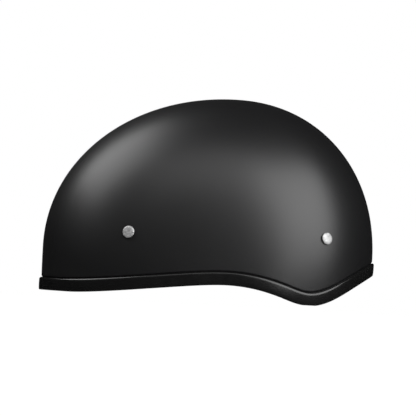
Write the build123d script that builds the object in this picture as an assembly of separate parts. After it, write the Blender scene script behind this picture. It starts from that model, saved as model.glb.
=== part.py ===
"""Half shell motorcycle helmet, millimetres, standing on its rim.

+Z is up, -X is the front and -Y is the wearer's left. The origin is the middle of the
outline, on the surface that the rim stands on. The straps are stowed inside the shell.
"""

import os
from math import acos, atan, cos, degrees, radians, sin, tan

from build123d import *

os.makedirs("parts", exist_ok=True)

# Outer form of the shell
front_reach = 147.8
rear_reach = 115.9
half_width = 110.0
crown_height = 160.3
front_drop = 125.5
rear_drop = 122.8
tuck_depth = 150.0
keel = 15.0
front_power_share = 2.034
rear_power_share = 2.122
width_power_share = 2.45
end_section_share = 0.1
section_count = 15
quadrant_steps = 9

# Thickness of each layer, and the gap between layers
shell_wall = 3.0
liner_wall = 21.7
pad_wall = 7.7
layer_gap = 0.3

# Rim: x as shares of half the shell's length, z as shares of the side arch's rise
arch_rise = 12.4
flat_depth = 0.4
rim_shares = [
    (-1.12, 0.02),
    (-0.93, 0.0),
    (-0.80, 0.04),
    (-0.66, 0.16),
    (-0.48, 0.37),
    (-0.26, 0.66),
    (-0.05, 0.92),
    (0.13, 1.03),
    (0.32, 0.82),
    (0.46, 0.41),
    (0.61, 0.0),
    (0.75, 0.39),
    (0.89, 1.35),
    (1.12, 3.0),
]

# Edge trim, a rubber channel on the shell's rim
trim_height = 10.2
trim_wall = 1.5
trim_floor = 2.0
trim_inner_leg = 6.0

# Where the crown is along the helmet, so that the outline's middle is at x = 0
crown_x = (front_reach - rear_reach - trim_wall) / 2

# Liner and pads
liner_lift = 6.6
pad_lift = 9.5
pad_gap = 4.0
pad_top = 76.0
pad_corner = 8.0
brow_end = -50.0
nape_end = 72.0
crown_pad_length = 104.0
crown_pad_width = 80.0

# Rivets
rivet_spread = 79.6
front_rivet_height = 50.0
rear_rivet_height = 53.5
rivet_head_radius = 5.35
rivet_head_height = 1.9
rivet_head_bevel = 1.0
rivet_shank_radius = 2.4
rivet_hole_gap = 0.1
rivet_tail_radius = 4.5
rivet_tail_height = 1.2
washer_radius = 6.5
washer_wall = 1.0
liner_pocket_gap = 1.0

# Webbing
web_width = 22.0
web_wall = 1.8
web_gap = 0.3
hem_length = 10.0
slot_gap = 1.5

# Where the straps leave the liner, their hinge line's distance inside the shell's side,
# and how the stowed legs lean
exit_height = 19.0
exit_inset = 47.2
exit_half_width = half_width - exit_inset
exit_spread = 46.0
exit_yaw_angle = 4.6
leg_lean_angle = 8.5

# Divider and its bar
bar_height = 72.0
bar_radius = 2.0
divider_wall = 4.4
divider_foot = 50.0
divider_shoulder = 61.0
divider_neck = 67.0
divider_head = 75.0
divider_rim = 2.5
divider_corner = 2.0
leg_end = 60.0
leg_parting = 0.9
ear_wall = 3.0
ear_side_gap = 0.5
ear_radius = 3.8

# Left chin strap, D-rings and pad
left_strap_length = 45.0
ring_wire_radius = 2.0
ring_inner_width = 24.0
ring_corner = 2.5
ring_side = 2.5
ring_gap = 1.6
tab_width = 12.0
tab_length = 15.0
tab_wall = 3.4
tab_ply = 1.0
chin_pad_length = 26.0
chin_pad_width = 30.0
chin_pad_back = 1.2
chin_pad_front = 5.0
chin_pad_start = 6.0
chin_pad_corner = 1.5

# Right chin strap, three runs folded on each other
run_gap = 0.5
first_run_end = 5.0
middle_run_top = 65.0
tip_end = 3.0

# One overrun serves all cuts
overrun = 20.0


def write(shape, name):
    """One file for each sub-part."""
    export_step(shape, f"parts/{name}.step")


def quadrant(reach, drop, power, angle, depth):
    """A point of the side profile, from the waist at 0 degrees to the crown at 90."""
    along = (reach - depth) * cos(radians(angle)) ** (2 / power)
    up = (drop - depth) * sin(radians(angle)) ** (2 / power)
    return along, crown_height - drop + up


def tucked(reach, drop, height, depth):
    """How far the wall reaches at a height below the waist."""
    below = (crown_height - drop - height) / tuck_depth
    return (reach - depth) * (1 - below**2) ** 0.5


def half_profile(reach, drop, power, depth):
    """Points of one end of the side profile, from the keel up to just short of the crown."""
    waist = crown_height - drop
    points = []
    for height in (-keel, (waist - keel) / 2):
        points.append((tucked(reach, drop, height, depth), height))
    for step in range(quadrant_steps):
        points.append(quadrant(reach, drop, power, 90 * step / quadrant_steps, depth))
    return points


def dome(depth):
    """The solid inside the shell's outer surface, or inside a layer that far under it.

    Each section is the side profile, drawn in towards the keel line under the crown.
    """
    front = half_profile(front_reach, front_drop, front_power_share, depth)
    rear = half_profile(rear_reach, rear_drop, rear_power_share, depth)
    profile = [(-x, z) for x, z in front] + [(0, crown_height - depth)] + rear[::-1]
    end_angle = degrees(acos(end_section_share ** (width_power_share / 2)))
    sections = []
    for index in range(section_count):
        angle = end_angle * (2 * index / (section_count - 1) - 1)
        scale = cos(radians(angle)) ** (2 / width_power_share)
        across = (half_width - depth) * abs(sin(radians(angle))) ** (2 / width_power_share)
        if angle < 0:
            across = -across
        points = [(crown_x + x * scale, across, (z + keel) * scale - keel) for x, z in profile]
        arch = Edge.make_spline([Vector(*point) for point in points])
        base = Edge.make_line(points[-1], points[0])
        sections.append(Wire([arch, base]))
    return Solid.make_loft(sections)


def side_reach(x, z, depth):
    """Half the width of a layer at a place in the side view."""

    def fill(scale):
        ahead = x < crown_x
        reach = front_reach if ahead else rear_reach
        drop = front_drop if ahead else rear_drop
        power = front_power_share if ahead else rear_power_share
        height = (z + keel) / scale - keel
        along = abs(x - crown_x) / scale
        waist = crown_height - drop
        if height < waist:
            return along / tucked(reach, drop, height, depth)
        up = (height - waist) / (drop - depth)
        return (along / (reach - depth)) ** power + up**power

    low, high = end_section_share**2, 2
    for _ in range(40):
        middle = (low + high) / 2
        if fill(middle) > 1:
            low = middle
        else:
            high = middle
    return (half_width - depth) * max(0, 1 - high**width_power_share) ** (1 / width_power_share)


def rim_edge(offset):
    """The line under the trim, as an edge in the XZ plane, moved up square to itself."""
    half_length = (front_reach + rear_reach) / 2
    points = [Vector(x * half_length, 0, z * arch_rise - flat_depth) for x, z in rim_shares]
    base = Edge.make_spline(points)
    if offset == 0:
        return base
    moved = []
    steps = 3 * (len(rim_shares) - 1)
    for step in range(steps + 1):
        place = base.position_at(step / steps)
        along = base.tangent_at(step / steps)
        moved.append(place + Vector(-along.Z, 0, along.X) * offset)
    return Edge.make_spline(moved)


def above(offset):
    """Everything above the rim line, moved up by an offset."""
    edge = rim_edge(offset)
    first, last = edge.position_at(0), edge.position_at(1)
    top = crown_height + overrun
    corners = [last, Vector(last.X, 0, top), Vector(first.X, 0, top), first]
    wire = Wire([edge] + [Edge.make_line(a, b) for a, b in zip(corners, corners[1:])])
    deep = half_width + overrun
    return extrude(Face(wire), deep, dir=(0, 1, 0), both=True)


def side_window(low_x, high_x, top):
    """A prism across the helmet, from under the floor up to a height, with round upper corners."""
    outline = Plane.XZ * Pos((low_x + high_x) / 2, top / 2 - overrun / 2) * RectangleRounded(
        high_x - low_x, top + overrun, pad_corner
    )
    return extrude(outline, half_width + overrun, both=True)


def block(x, y, z):
    """A box between pairs of coordinates."""
    size = [b - a for a, b in (x, y, z)]
    middle = [(a + b) / 2 for a, b in (x, y, z)]
    return Pos(*middle) * Box(*size)


def rod(radius, x, y=0, z=0):
    """A cylinder along x, centred on x = 0, of half length x."""
    return Pos(0, y, z) * Rot(0, 90, 0) * Cylinder(radius, 2 * x)


def mirrored(shape):
    """The same piece on the wearer's right."""
    return mirror(shape, Plane.XZ)


# The frame of the left strap group: x along its hinge line, y inwards, z up the stowed legs
exit_frame = Pos(crown_x, -exit_half_width, exit_height) * Rot(0, 0, exit_yaw_angle)
leg_frame = exit_frame * Rot(-leg_lean_angle, 0, 0)


def shell_and_trim():
    """The outer shell with its rivet holes, and the rubber channel on its rim."""
    wall = (dome(0) - dome(shell_wall)) & above(trim_floor)
    band = (dome(-trim_wall) - dome(shell_wall + trim_wall)) & above(0)
    band = band - above(trim_height) - wall
    band = band - (dome(shell_wall) & above(trim_inner_leg))
    reach = front_reach + rear_reach
    band = band & block((-reach, reach), (-reach, reach), (0, crown_height))
    for place in rivet_places():
        wall = wall - place * Cylinder(rivet_shank_radius + rivet_hole_gap, 2 * overrun)
    return wall, band


def rivet_places():
    """Each rivet's location: origin on the shell's outer surface, z square to it."""
    places = []
    for x, z in (
        (crown_x - rivet_spread, front_rivet_height),
        (crown_x + rivet_spread, rear_rivet_height),
    ):
        step = shell_wall
        slope_x = (side_reach(x + step, z, 0) - side_reach(x - step, z, 0)) / (2 * step)
        slope_z = (side_reach(x, z + step, 0) - side_reach(x, z - step, 0)) / (2 * step)
        for side in (-1, 1):
            spot = Vector(x, side * side_reach(x, z, 0), z)
            normal = Vector(-slope_x, side, -slope_z)
            places.append(Plane(origin=spot, z_dir=normal).location)
    return places


def rivets():
    """Four rivets: a bevelled head outside, a shank, and a spread tail inside."""
    pieces = []
    skin = dome(0)
    inner = shell_wall + layer_gap + web_wall + washer_wall
    for place in rivet_places():
        head = Cylinder(rivet_head_radius, 2 * rivet_head_height)
        head = chamfer(head.edges().sort_by(Axis.Z)[-1], rivet_head_bevel)
        shank = Pos(0, 0, -inner / 2) * Cylinder(rivet_shank_radius, inner)
        tail = Pos(0, 0, -inner - rivet_tail_height / 2) * Cylinder(
            rivet_tail_radius, rivet_tail_height
        )
        pieces.append((place * head - skin) + place * (shank + tail))
    return pieces


def rivet_washers():
    """A washer under each rivet's tail, against the webbing."""
    depth = shell_wall + layer_gap + web_wall + washer_wall / 2
    ring = Pos(0, 0, -depth) * (
        Cylinder(washer_radius, washer_wall) - Cylinder(rivet_shank_radius, 2 * washer_wall)
    )
    return [place * ring for place in rivet_places()]


def leg_half_width():
    """Half the width of a leg's webbing, measured along the hinge line."""
    return web_width / 2 / cos(leg_angle())


def leg_angle():
    """How far a leg leans from square to the hinge line."""
    top = leg_parting + web_width / 2
    return atan((exit_spread - top) / leg_end)


def leg_top():
    """Where a leg's middle line ends, along the hinge line."""
    return leg_half_width() + leg_parting


def leg(side):
    """A flat strap leg from the hinge line to the divider, side -1 in front and 1 behind."""
    half = leg_half_width()
    foot = exit_spread
    corners = [(foot - half, 0), (foot + half, 0), (leg_top() + half, leg_end)]
    corners.append((leg_top() - half, leg_end))
    outline = Plane.XZ * Polyline(*[(side * x, z) for x, z in corners], close=True)
    plate = extrude(make_face(outline), web_wall / 2, both=True)
    eye = Pos(side * foot, 0, 0) * rod(web_wall / 2, half)
    return plate + eye


def anchor(side):
    """The hidden webbing from a rivet down to the slot, and through it to the hinge line."""
    x = crown_x + side * rivet_spread
    z = front_rivet_height if side < 0 else rear_rivet_height
    foot_x = crown_x + side * exit_spread
    foot_z = exit_height - web_wall / 2
    lean = Vector(x - foot_x, 0, z - foot_z).normalized()
    across = Vector(lean.Z, 0, -lean.X) * web_width / 2
    tip = Vector(x, 0, z) + lean * hem_length
    half = Vector(leg_half_width(), 0, 0)
    foot = Vector(foot_x, 0, foot_z)
    corners = [foot - half, foot + half, tip + across, tip - across]
    outline = make_face(Polyline(*corners, close=True))
    prism = extrude(outline, half_width, dir=(0, -1, 0))
    depth = shell_wall + layer_gap
    hung = (dome(depth) - dome(depth + web_wall)) & prism
    start = web_wall / 2 + web_gap
    reach = leg_half_width()
    cross = block((-reach, reach), (-half_width, -start), (-web_wall / 2, web_wall / 2))
    cross = (exit_frame * Pos(side * exit_spread, 0, 0) * cross) & dome(depth + web_wall / 2)
    whole = hung + cross
    for place, washer in zip(rivet_places(), rivet_washers()):
        whole = whole - place * Cylinder(rivet_shank_radius, 2 * overrun) - washer
    return whole


def anchor_recess(side):
    """The room that the liner leaves for an anchor webbing."""
    x = crown_x + side * rivet_spread
    z = front_rivet_height if side < 0 else rear_rivet_height
    foot = Vector(crown_x + side * exit_spread, 0, exit_height)
    lean = (Vector(x, 0, z) - foot).normalized()
    across = Vector(lean.Z, 0, -lean.X) * (web_width / 2 + slot_gap)
    tip = Vector(x, 0, z) + lean * (hem_length + slot_gap)
    half = Vector(leg_half_width() + slot_gap, 0, 0)
    base = foot - Vector(0, 0, slot_gap + web_wall / 2)
    outline = make_face(Polyline(base - half, base + half, tip + across, tip - across, close=True))
    prism = extrude(outline, half_width, dir=(0, -1, 0))
    depth = shell_wall + layer_gap
    return (dome(depth) - dome(depth + web_wall + layer_gap)) & prism


def exit_slot(side, low, high):
    """A slot through the liner or a pad, between two heights about the hinge line."""
    reach = leg_half_width() + slot_gap
    slot = block((-reach, reach), (-half_width, overrun / 2), (low, high))
    return exit_frame * Pos(side * exit_spread, 0, 0) * slot


def impact_liner():
    """The foam liner, with a pocket for each rivet, a recess and a slot for each webbing."""
    outer = shell_wall + layer_gap
    liner = (dome(outer) - dome(outer + liner_wall)) & above(liner_lift)
    slot_half = web_wall / 2 + slot_gap
    for side in (-1, 1):
        cut = anchor_recess(side) + exit_slot(side, -slot_half, slot_half)
        liner = liner - cut - mirrored(cut)
    deep = shell_wall + layer_gap + web_wall + washer_wall + rivet_tail_height + liner_pocket_gap
    for place in rivet_places():
        liner = liner - place * Cylinder(washer_radius + liner_pocket_gap, 2 * deep)
    return liner


def comfort_pads():
    """Five soft pads on the liner's inner face, by name."""
    outer = shell_wall + layer_gap + liner_wall + layer_gap
    layer = dome(outer) - dome(outer + pad_wall)
    low = layer & above(pad_lift)
    for side in (-1, 1):
        notch = exit_slot(side, -overrun, web_wall / 2 + slot_gap)
        low = low - notch - mirrored(notch)
    far = (front_reach + rear_reach) / 2
    brow = low & side_window(-far, brow_end, pad_top)
    nape = low & side_window(nape_end, far, pad_top)
    sides = low & side_window(brow_end + pad_gap, nape_end - pad_gap, pad_top)
    left, right = sorted(sides.solids(), key=lambda solid: solid.center().Y)
    ellipse = Pos(crown_x, 0) * Ellipse(crown_pad_length / 2, crown_pad_width / 2)
    crown = layer & extrude(ellipse, crown_height)
    return {
        "brow_pad": brow,
        "nape_pad": nape,
        "left_side_pad": left,
        "right_side_pad": right,
        "crown_pad": crown,
    }


def eye_radius():
    """Outer radius of a webbing loop round the divider's bar or a D-ring's bar."""
    return bar_radius + web_gap + web_wall


def bar_offset():
    """How far inside the legs the divider's bar stands, to let the strap's eye turn."""
    return divider_wall / 2 + eye_radius() + web_gap


def divider():
    """The moulded plate that holds both legs' ends, with two ears and a round bar."""
    wide = leg_top() + leg_half_width() + divider_rim
    spread = (divider_shoulder - divider_foot) * tan(leg_angle())
    neck = web_width / 2 + ear_side_gap + ear_wall
    half = [(wide + spread, divider_foot), (wide, divider_shoulder)]
    half += [(neck, divider_neck), (neck, divider_head)]
    corners = half + [(-x, z) for x, z in half[::-1]]
    outline = make_face(Plane.XZ * Polyline(*corners, close=True))
    plate = extrude(outline, divider_wall / 2, both=True)
    plate = fillet(plate.edges().filter_by(Axis.Y), divider_corner)
    root = divider_head - divider_neck
    lug = Plane.YZ * make_hull(
        (
            Pos(bar_offset(), bar_height) * Circle(ear_radius)
            + Pos(divider_wall / 4, divider_head - root / 2) * Rectangle(divider_wall / 2, root)
        ).edges()
    )
    for side in (-1, 1):
        inner = side * (web_width / 2 + ear_side_gap)
        plate = plate + Pos(inner, 0, 0) * extrude(lug, side * ear_wall)
    plate = plate + rod(bar_radius, neck - ear_wall / 2, bar_offset(), bar_height)
    for side in (-1, 1):
        plate = plate - leg(side)
    return plate


def ring_height():
    """Height of the D-ring bars above the hinge line, in the stowed strap's frame."""
    return bar_height - left_strap_length


def ring_step():
    """Half the distance between the two D-rings' bars, across the strap."""
    return ring_wire_radius + ring_gap / 2


def left_chin_strap():
    """Double webbing with a round eye on the divider's bar and an oblong one for the rings."""
    half = web_width / 2
    y = bar_offset()
    strap = block((-half, half), (y - web_wall, y + web_wall), (ring_height(), bar_height))
    strap = strap + rod(eye_radius(), half, y, bar_height)
    step = ring_step()
    outer = ring_wire_radius + web_gap + web_wall
    for side in (-1, 1):
        strap = strap + rod(outer, half, y + side * step, ring_height())
    low, high = ring_height() - outer, ring_height() + outer
    strap = strap + block((-half, half), (y - step, y + step), (low, high))
    strap = strap - rod(bar_radius + web_gap, web_width, y, bar_height)
    for side in (-1, 1):
        strap = strap - rod(ring_wire_radius + web_gap, web_width, y + side * step, ring_height())
    return strap


def d_ring(side):
    """A wire ring with a straight bar in the strap's eye, side 1 towards the cavity."""
    wide = ring_inner_width / 2 + ring_wire_radius
    y = bar_offset() + side * ring_step()
    top = ring_height()
    low = top - ring_corner - ring_side
    bar = wide - ring_corner
    path = Wire(
        [
            Edge.make_line((-bar, y, top), (bar, y, top)),
            Edge.make_circle(
                ring_corner,
                Plane((bar, y, top - ring_corner), x_dir=(1, 0, 0), z_dir=(0, -1, 0)),
                0,
                90,
            ),
            Edge.make_line((wide, y, top - ring_corner), (wide, y, low)),
            Edge.make_circle(wide, Plane((0, y, low), x_dir=(1, 0, 0), z_dir=(0, -1, 0)), 180, 360),
            Edge.make_line((-wide, y, low), (-wide, y, top - ring_corner)),
            Edge.make_circle(
                ring_corner,
                Plane((-bar, y, top - ring_corner), x_dir=(1, 0, 0), z_dir=(0, -1, 0)),
                90,
                180,
            ),
        ]
    )
    section = Plane((0, y, top), x_dir=(0, 1, 0), z_dir=(1, 0, 0)) * Circle(ring_wire_radius)
    return sweep(section, path, transition=Transition.ROUND)


def release_tab():
    """A short ribbon folded round the bow of the ring that lies towards the cavity."""
    y = bar_offset() + ring_step()
    bow = ring_height() - ring_corner - ring_side - ring_inner_width / 2 - ring_wire_radius
    top = bow + tab_wall
    plate = block(
        (-tab_width / 2, tab_width / 2), (y - tab_wall / 2, y + tab_wall / 2), (top - tab_length, top)
    )
    plate = plate + rod(ring_wire_radius + tab_ply, tab_width / 2, y, bow)
    return plate - d_ring(1)


def chin_pad():
    """A soft sleeve round the left chin strap, thicker on the side that meets the chin."""
    y = bar_offset()
    bore = web_wall + web_gap
    low = ring_height() + chin_pad_start
    high = low + chin_pad_length
    sleeve = block(
        (-chin_pad_width / 2, chin_pad_width / 2),
        (y - bore - chin_pad_back, y + bore + chin_pad_front),
        (low, high),
    )
    sleeve = fillet(sleeve.edges().filter_by(Axis.Z), chin_pad_corner)
    half = web_width / 2 + web_gap
    return sleeve - block((-half, half), (y - bore, y + bore), (low - bore, high + bore))


def run_step():
    """Distance between the middles of two folded runs."""
    return web_wall + run_gap


def run(number, low, high):
    """A single run of webbing, the first one lying next to the legs."""
    half = web_width / 2
    y = bar_offset() + number * run_step()
    return block((-half, half), (y - web_wall / 2, y + web_wall / 2), (low, high))


def right_strap_first_run():
    """The run that starts with an eye on the divider's bar."""
    half = web_width / 2
    y = bar_offset()
    strap = run(0, first_run_end, bar_height) + rod(eye_radius(), half, y, bar_height)
    return strap - rod(bar_radius + web_gap, web_width, y, bar_height)


def right_strap_tip_run():
    """The last run, with a rounded tip."""
    plate = run(2, tip_end, middle_run_top)
    corners = plate.edges().filter_by(Axis.Y).group_by(Axis.Z)[0]
    return fillet(corners, web_width / 4)


shell, trim = shell_and_trim()
write(shell, "outer_shell")
write(trim, "edge_trim")
write(impact_liner(), "impact_liner")
for name, pad in comfort_pads().items():
    write(pad, name)
write(Compound(children=rivets()), "strap_rivets")
write(Compound(children=rivet_washers()), "rivet_washers")
for side, end in ((-1, "front"), (1, "rear")):
    webbing = anchor(side)
    write(webbing, f"left_{end}_anchor_web")
    write(mirrored(webbing), f"right_{end}_anchor_web")
    strap_leg = leg_frame * leg(side)
    write(strap_leg, f"left_{end}_leg")
    write(mirrored(strap_leg), f"right_{end}_leg")
plate = leg_frame * divider()
write(plate, "left_divider")
write(mirrored(plate), "right_divider")
write(leg_frame * left_chin_strap(), "left_chin_strap")
write(leg_frame * d_ring(1), "inner_d_ring")
write(leg_frame * d_ring(-1), "outer_d_ring")
write(leg_frame * release_tab(), "release_tab")
write(leg_frame * chin_pad(), "chin_pad")
write(mirrored(leg_frame * right_strap_first_run()), "right_chin_strap")
write(mirrored(leg_frame * run(1, first_run_end, middle_run_top)), "right_strap_middle_run")
write(mirrored(leg_frame * right_strap_tip_run()), "right_strap_tip_run")

# Hinge lines of the left side, as points in the helmet's frame; the right side mirrors them
for name, y, z in (
    ("yoke", 0, 0),
    ("divider bar", bar_offset(), bar_height),
    ("ring towards the cavity", bar_offset() + ring_step(), ring_height()),
    ("ring towards the legs", bar_offset() - ring_step(), ring_height()),
    ("first fold", bar_offset() + run_step() / 2, first_run_end),
    ("second fold", bar_offset() + run_step() * 3 / 2, middle_run_top),
):
    point = (leg_frame * Pos(0, y, z)).position
    print("hinge", name, tuple(round(value, 4) for value in point))
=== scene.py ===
"""Half shell helmet: the finished surfaces, lining, webbing and hardware round a fixed frame.

Lengths are metres. +Z is up, -X is the front and -Y is the wearer's left.
"""

import math

import bpy
import numpy as np
from bpy.props import FloatProperty, FloatVectorProperty, PointerProperty
from mathutils import Matrix, Vector


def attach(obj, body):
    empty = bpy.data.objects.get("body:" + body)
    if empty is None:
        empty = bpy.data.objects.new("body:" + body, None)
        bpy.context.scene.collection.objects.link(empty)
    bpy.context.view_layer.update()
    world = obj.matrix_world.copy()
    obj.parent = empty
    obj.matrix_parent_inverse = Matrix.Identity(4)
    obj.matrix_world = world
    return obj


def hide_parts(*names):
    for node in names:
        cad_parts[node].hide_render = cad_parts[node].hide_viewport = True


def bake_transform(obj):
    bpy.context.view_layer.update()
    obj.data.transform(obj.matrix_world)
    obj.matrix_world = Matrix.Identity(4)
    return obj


bl_info = {
    "name": "Half Shell Helmet",
    "version": (1, 0, 0),
    "blender": (4, 5, 0),
    "location": "View3D > Sidebar > Helmet",
    "description": "Builds a half shell helmet with its trim, lining, straps and rings",
    "category": "Add Mesh",
}

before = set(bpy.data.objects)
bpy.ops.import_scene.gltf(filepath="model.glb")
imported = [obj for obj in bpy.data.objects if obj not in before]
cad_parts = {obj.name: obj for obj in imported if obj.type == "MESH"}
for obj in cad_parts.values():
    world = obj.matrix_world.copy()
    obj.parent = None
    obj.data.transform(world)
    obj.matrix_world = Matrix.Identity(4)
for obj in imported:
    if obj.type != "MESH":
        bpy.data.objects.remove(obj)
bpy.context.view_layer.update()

LEFT = -1
RIGHT = 1
FRONT = -1
REAR = 1

WHITE = (1.0, 1.0, 1.0)

# A tenth of a millimetre, the step in which small roundings are drawn
FINE = 0.0001

# The floor lies low, so that the straps hang free of it when they are swung out
FLOOR_LEVEL = -0.26

# Webbing: its gap to the shell and round a bar, and the part of its thickness that a sewn strap has
WEB_GAP = 0.0003
SEWN_SHARE = 0.98

# Radius of the bend from the foam's slot up a leg, and of the bend at the shell's wall
LEG_BEND = 0.0019
WALL_BEND = 0.0022

# How steeply a line through a leg's bend rises; its two ends are worked out but not used
BEND_SLOPE = 0.3

# One stitch: how far along it each ring lies, how far out and how large it is, as shares
STITCH_SHARES = (
    (0.0, -0.9, 0.35),
    (0.12, 0.1, 0.85),
    (0.5, 0.45, 1.0),
    (0.88, 0.1, 0.85),
    (1.0, -0.9, 0.35),
)

# Rim line: x as shares of half the shell's length, z as shares of the side arch's rise
RIM_SHARES = (
    (-1.12, 0.02),
    (-0.93, 0.0),
    (-0.80, 0.04),
    (-0.66, 0.16),
    (-0.48, 0.37),
    (-0.26, 0.66),
    (-0.05, 0.92),
    (0.13, 1.03),
    (0.32, 0.82),
    (0.46, 0.41),
    (0.61, 0.0),
    (0.75, 0.39),
    (0.89, 1.35),
    (1.12, 3.0),
)

# Places across a webbing, as shares of its half width, and its thickness there as shares
WEB_SHARES = (-1.0, -0.985, -0.94, -0.84, -0.6, -0.3, 0.0, 0.3, 0.6, 0.84, 0.94, 0.985, 1.0)
WEB_THICKNESS_SHARES = (0.3, 0.72, 1.0, 1.0, 0.94, 0.92, 0.92, 0.92, 0.94, 1.0, 1.0, 0.72, 0.3)


def length(name, default, description):
    """A length that a user can set, in metres."""
    limits = {"unit": "LENGTH", "precision": 4, "min": -1, "max": 1}
    return FloatProperty(name=name, default=default, description=description, **limits)


def share(name, default, description):
    """A plain number that a user can set."""
    return FloatProperty(name=name, default=default, description=description, precision=3)


def angle(name, degrees, description):
    """An angle that a user can set."""
    return FloatProperty(
        name=name, default=math.radians(degrees), description=description, subtype="ANGLE"
    )


def colour(name, default, description):
    """A linear colour that a user can set."""
    return FloatVectorProperty(
        name=name, default=default, description=description, subtype="COLOR", size=3, min=0, max=1
    )


class HelmetShellSettings(bpy.types.PropertyGroup):
    """The outer form and the rim"""

    front_reach: length("Front reach", 0.1478, "From the crown to the front")
    rear_reach: length("Rear reach", 0.1159, "From the crown to the back")
    half_width: length("Half width", 0.110, "Half the shell's width")
    crown_height: length("Crown height", 0.1603, "Height of the crown over the rim's lowest places")
    front_drop: length("Front drop", 0.1255, "From the crown down to the waist in front")
    rear_drop: length("Rear drop", 0.1228, "From the crown down to the waist behind")
    front_tuck: length("Front tuck", 0.400, "Radius that draws the front in under the waist")
    rear_tuck: length("Rear tuck", 0.150, "Radius that draws the back in under the waist")
    keel: length("Keel", 0.015, "Depth of the line that the sections shrink towards")
    front_power: share("Front power", 2.034, "Fullness of the front of the side view")
    rear_power: share("Rear power", 2.122, "Fullness of the back of the side view")
    width_power: share("Width power", 2.45, "Fullness of the shell across")
    wall: length("Shell wall", 0.003, "Thickness of the moulded shell")
    arch_rise: length("Arch rise", 0.0124, "Height of the rim's arch over the ear")
    flat_depth: length("Flat depth", 0.0004, "How much of the rim's low places is pressed flat")
    trim_height: length("Trim height", 0.0102, "Height of the rubber trim's outer face")
    trim_wall: length("Trim wall", 0.0015, "Thickness of the trim's lips")
    trim_floor: length("Trim floor", 0.002, "Rubber under the shell's edge")
    front_swell: length("Trim front swell", 0.0004, "Extra thickness of the trim's foot in front")
    trim_inner_leg: length("Trim inner lip", 0.006, "Height of the trim's inner lip")
    seam_gap: length("Seam gap", 0.0009, "Height of the dark seam over the trim")
    seam_depth: length("Seam depth", 0.0006, "Depth of the dark seam over the trim")
    front_rivet_spread: length("Front rivet spread", 0.0791, "From the crown to the front rivets")
    rear_rivet_spread: length("Rear rivet spread", 0.0775, "From the crown to the rear rivets")
    front_rivet_height: length("Front rivet height", 0.050, "Height of the front rivets")
    rear_rivet_height: length("Rear rivet height", 0.0535, "Height of the rear rivets")
    rivet_radius: length("Rivet head radius", 0.00495, "Radius of a rivet's head")
    rivet_rise: length("Rivet head rise", 0.0019, "How far a rivet's head stands proud")


class HelmetLiningSettings(bpy.types.PropertyGroup):
    """The comfort pads inside"""

    foam_depth: length("Foam depth", 0.0250, "From the outer surface to the foam's inner face")
    seat_gap: length("Seat gap", 0.0003, "Between the foam and a pad's back")
    pad_wall: length("Pad wall", 0.0077, "Full thickness of a pad")
    pad_lift: length("Pad lift", 0.0095, "From the rim line up to a pad's lower edge")
    pad_gap: length("Pad gap", 0.004, "Between two pads")
    pad_top: length("Pad top", 0.076, "Height of the lower pads' upper edge")
    brow_end: length("Brow pad end", -0.050, "Where the brow pad ends along the helmet")
    nape_end: length("Nape pad end", 0.072, "Where the nape pad ends along the helmet")
    corner: length("Pad corner", 0.008, "Radius of a pad's upper corners")
    crown_length: length("Crown pad length", 0.104, "Length of the crown pad")
    crown_width: length("Crown pad width", 0.080, "Width of the crown pad")
    roll: length("Edge roll", 0.010, "How far in from its edge a pad gets its full thickness")
    channel: length("Channel width", 0.0024, "Half width of a sewn channel")
    swell: length("Swell", 0.0014, "The most that air pressure may lift a pad's cloth")
    binding: length("Binding radius", 0.0011, "Radius of the bound edge")


class HelmetStrapSettings(bpy.types.PropertyGroup):
    """The webbing, the buckle and the chin pad"""

    web_width: length("Webbing width", 0.022, "Width of the webbing")
    web_wall: length("Webbing thickness", 0.0018, "Thickness of the webbing")
    exit_height: length("Exit height", 0.019, "Height of the slots in the lining")
    exit_half_width: length("Exit half width", 0.0628, "From the middle plane to the hinge line")
    exit_spread: length("Exit spread", 0.046, "From the middle of the hinge line to each leg")
    exit_yaw: angle("Exit yaw", 4.6, "Turn of the hinge line, seen from above")
    leg_lean: angle("Leg lean", 8.5, "Inward lean of the stowed legs")
    leg_end: length("Leg end", 0.060, "From the hinge line to a leg's end in the divider")
    leg_parting: length("Leg parting", 0.0009, "Half the space between the legs' ends")
    bar_height: length("Bar height", 0.072, "From the hinge line to the divider's bar")
    bar_offset: length("Bar offset", 0.0066, "How far the bar stands inside the legs")
    bar_radius: length("Bar radius", 0.002, "Radius of the bar and of the rings' wire")
    ring_height: length("Ring height", 0.027, "From the hinge line to the rings' bars")
    ring_step: length("Ring step", 0.0028, "Half the distance between the rings' bars")
    ring_bow: length("Ring bow", 0.008, "Height of the rings' bows above the hinge line")
    run_step: length("Run step", 0.0023, "Between the middles of two folded runs")
    first_run_end: length("First run end", 0.005, "Height of the first fold")
    middle_run_top: length("Middle run top", 0.065, "Height of the second fold")
    tip_end: length("Tip end", 0.003, "Height of the strap's stowed tip")
    tab_width: length("Tab width", 0.012, "Width of the release tab")
    tab_end: length("Tab end", -0.0036, "Height of the release tab's stowed end")
    thread: length("Thread radius", 0.00028, "Radius of the sewing thread")
    stitch: length("Stitch length", 0.0024, "Length of a stitch")


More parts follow.
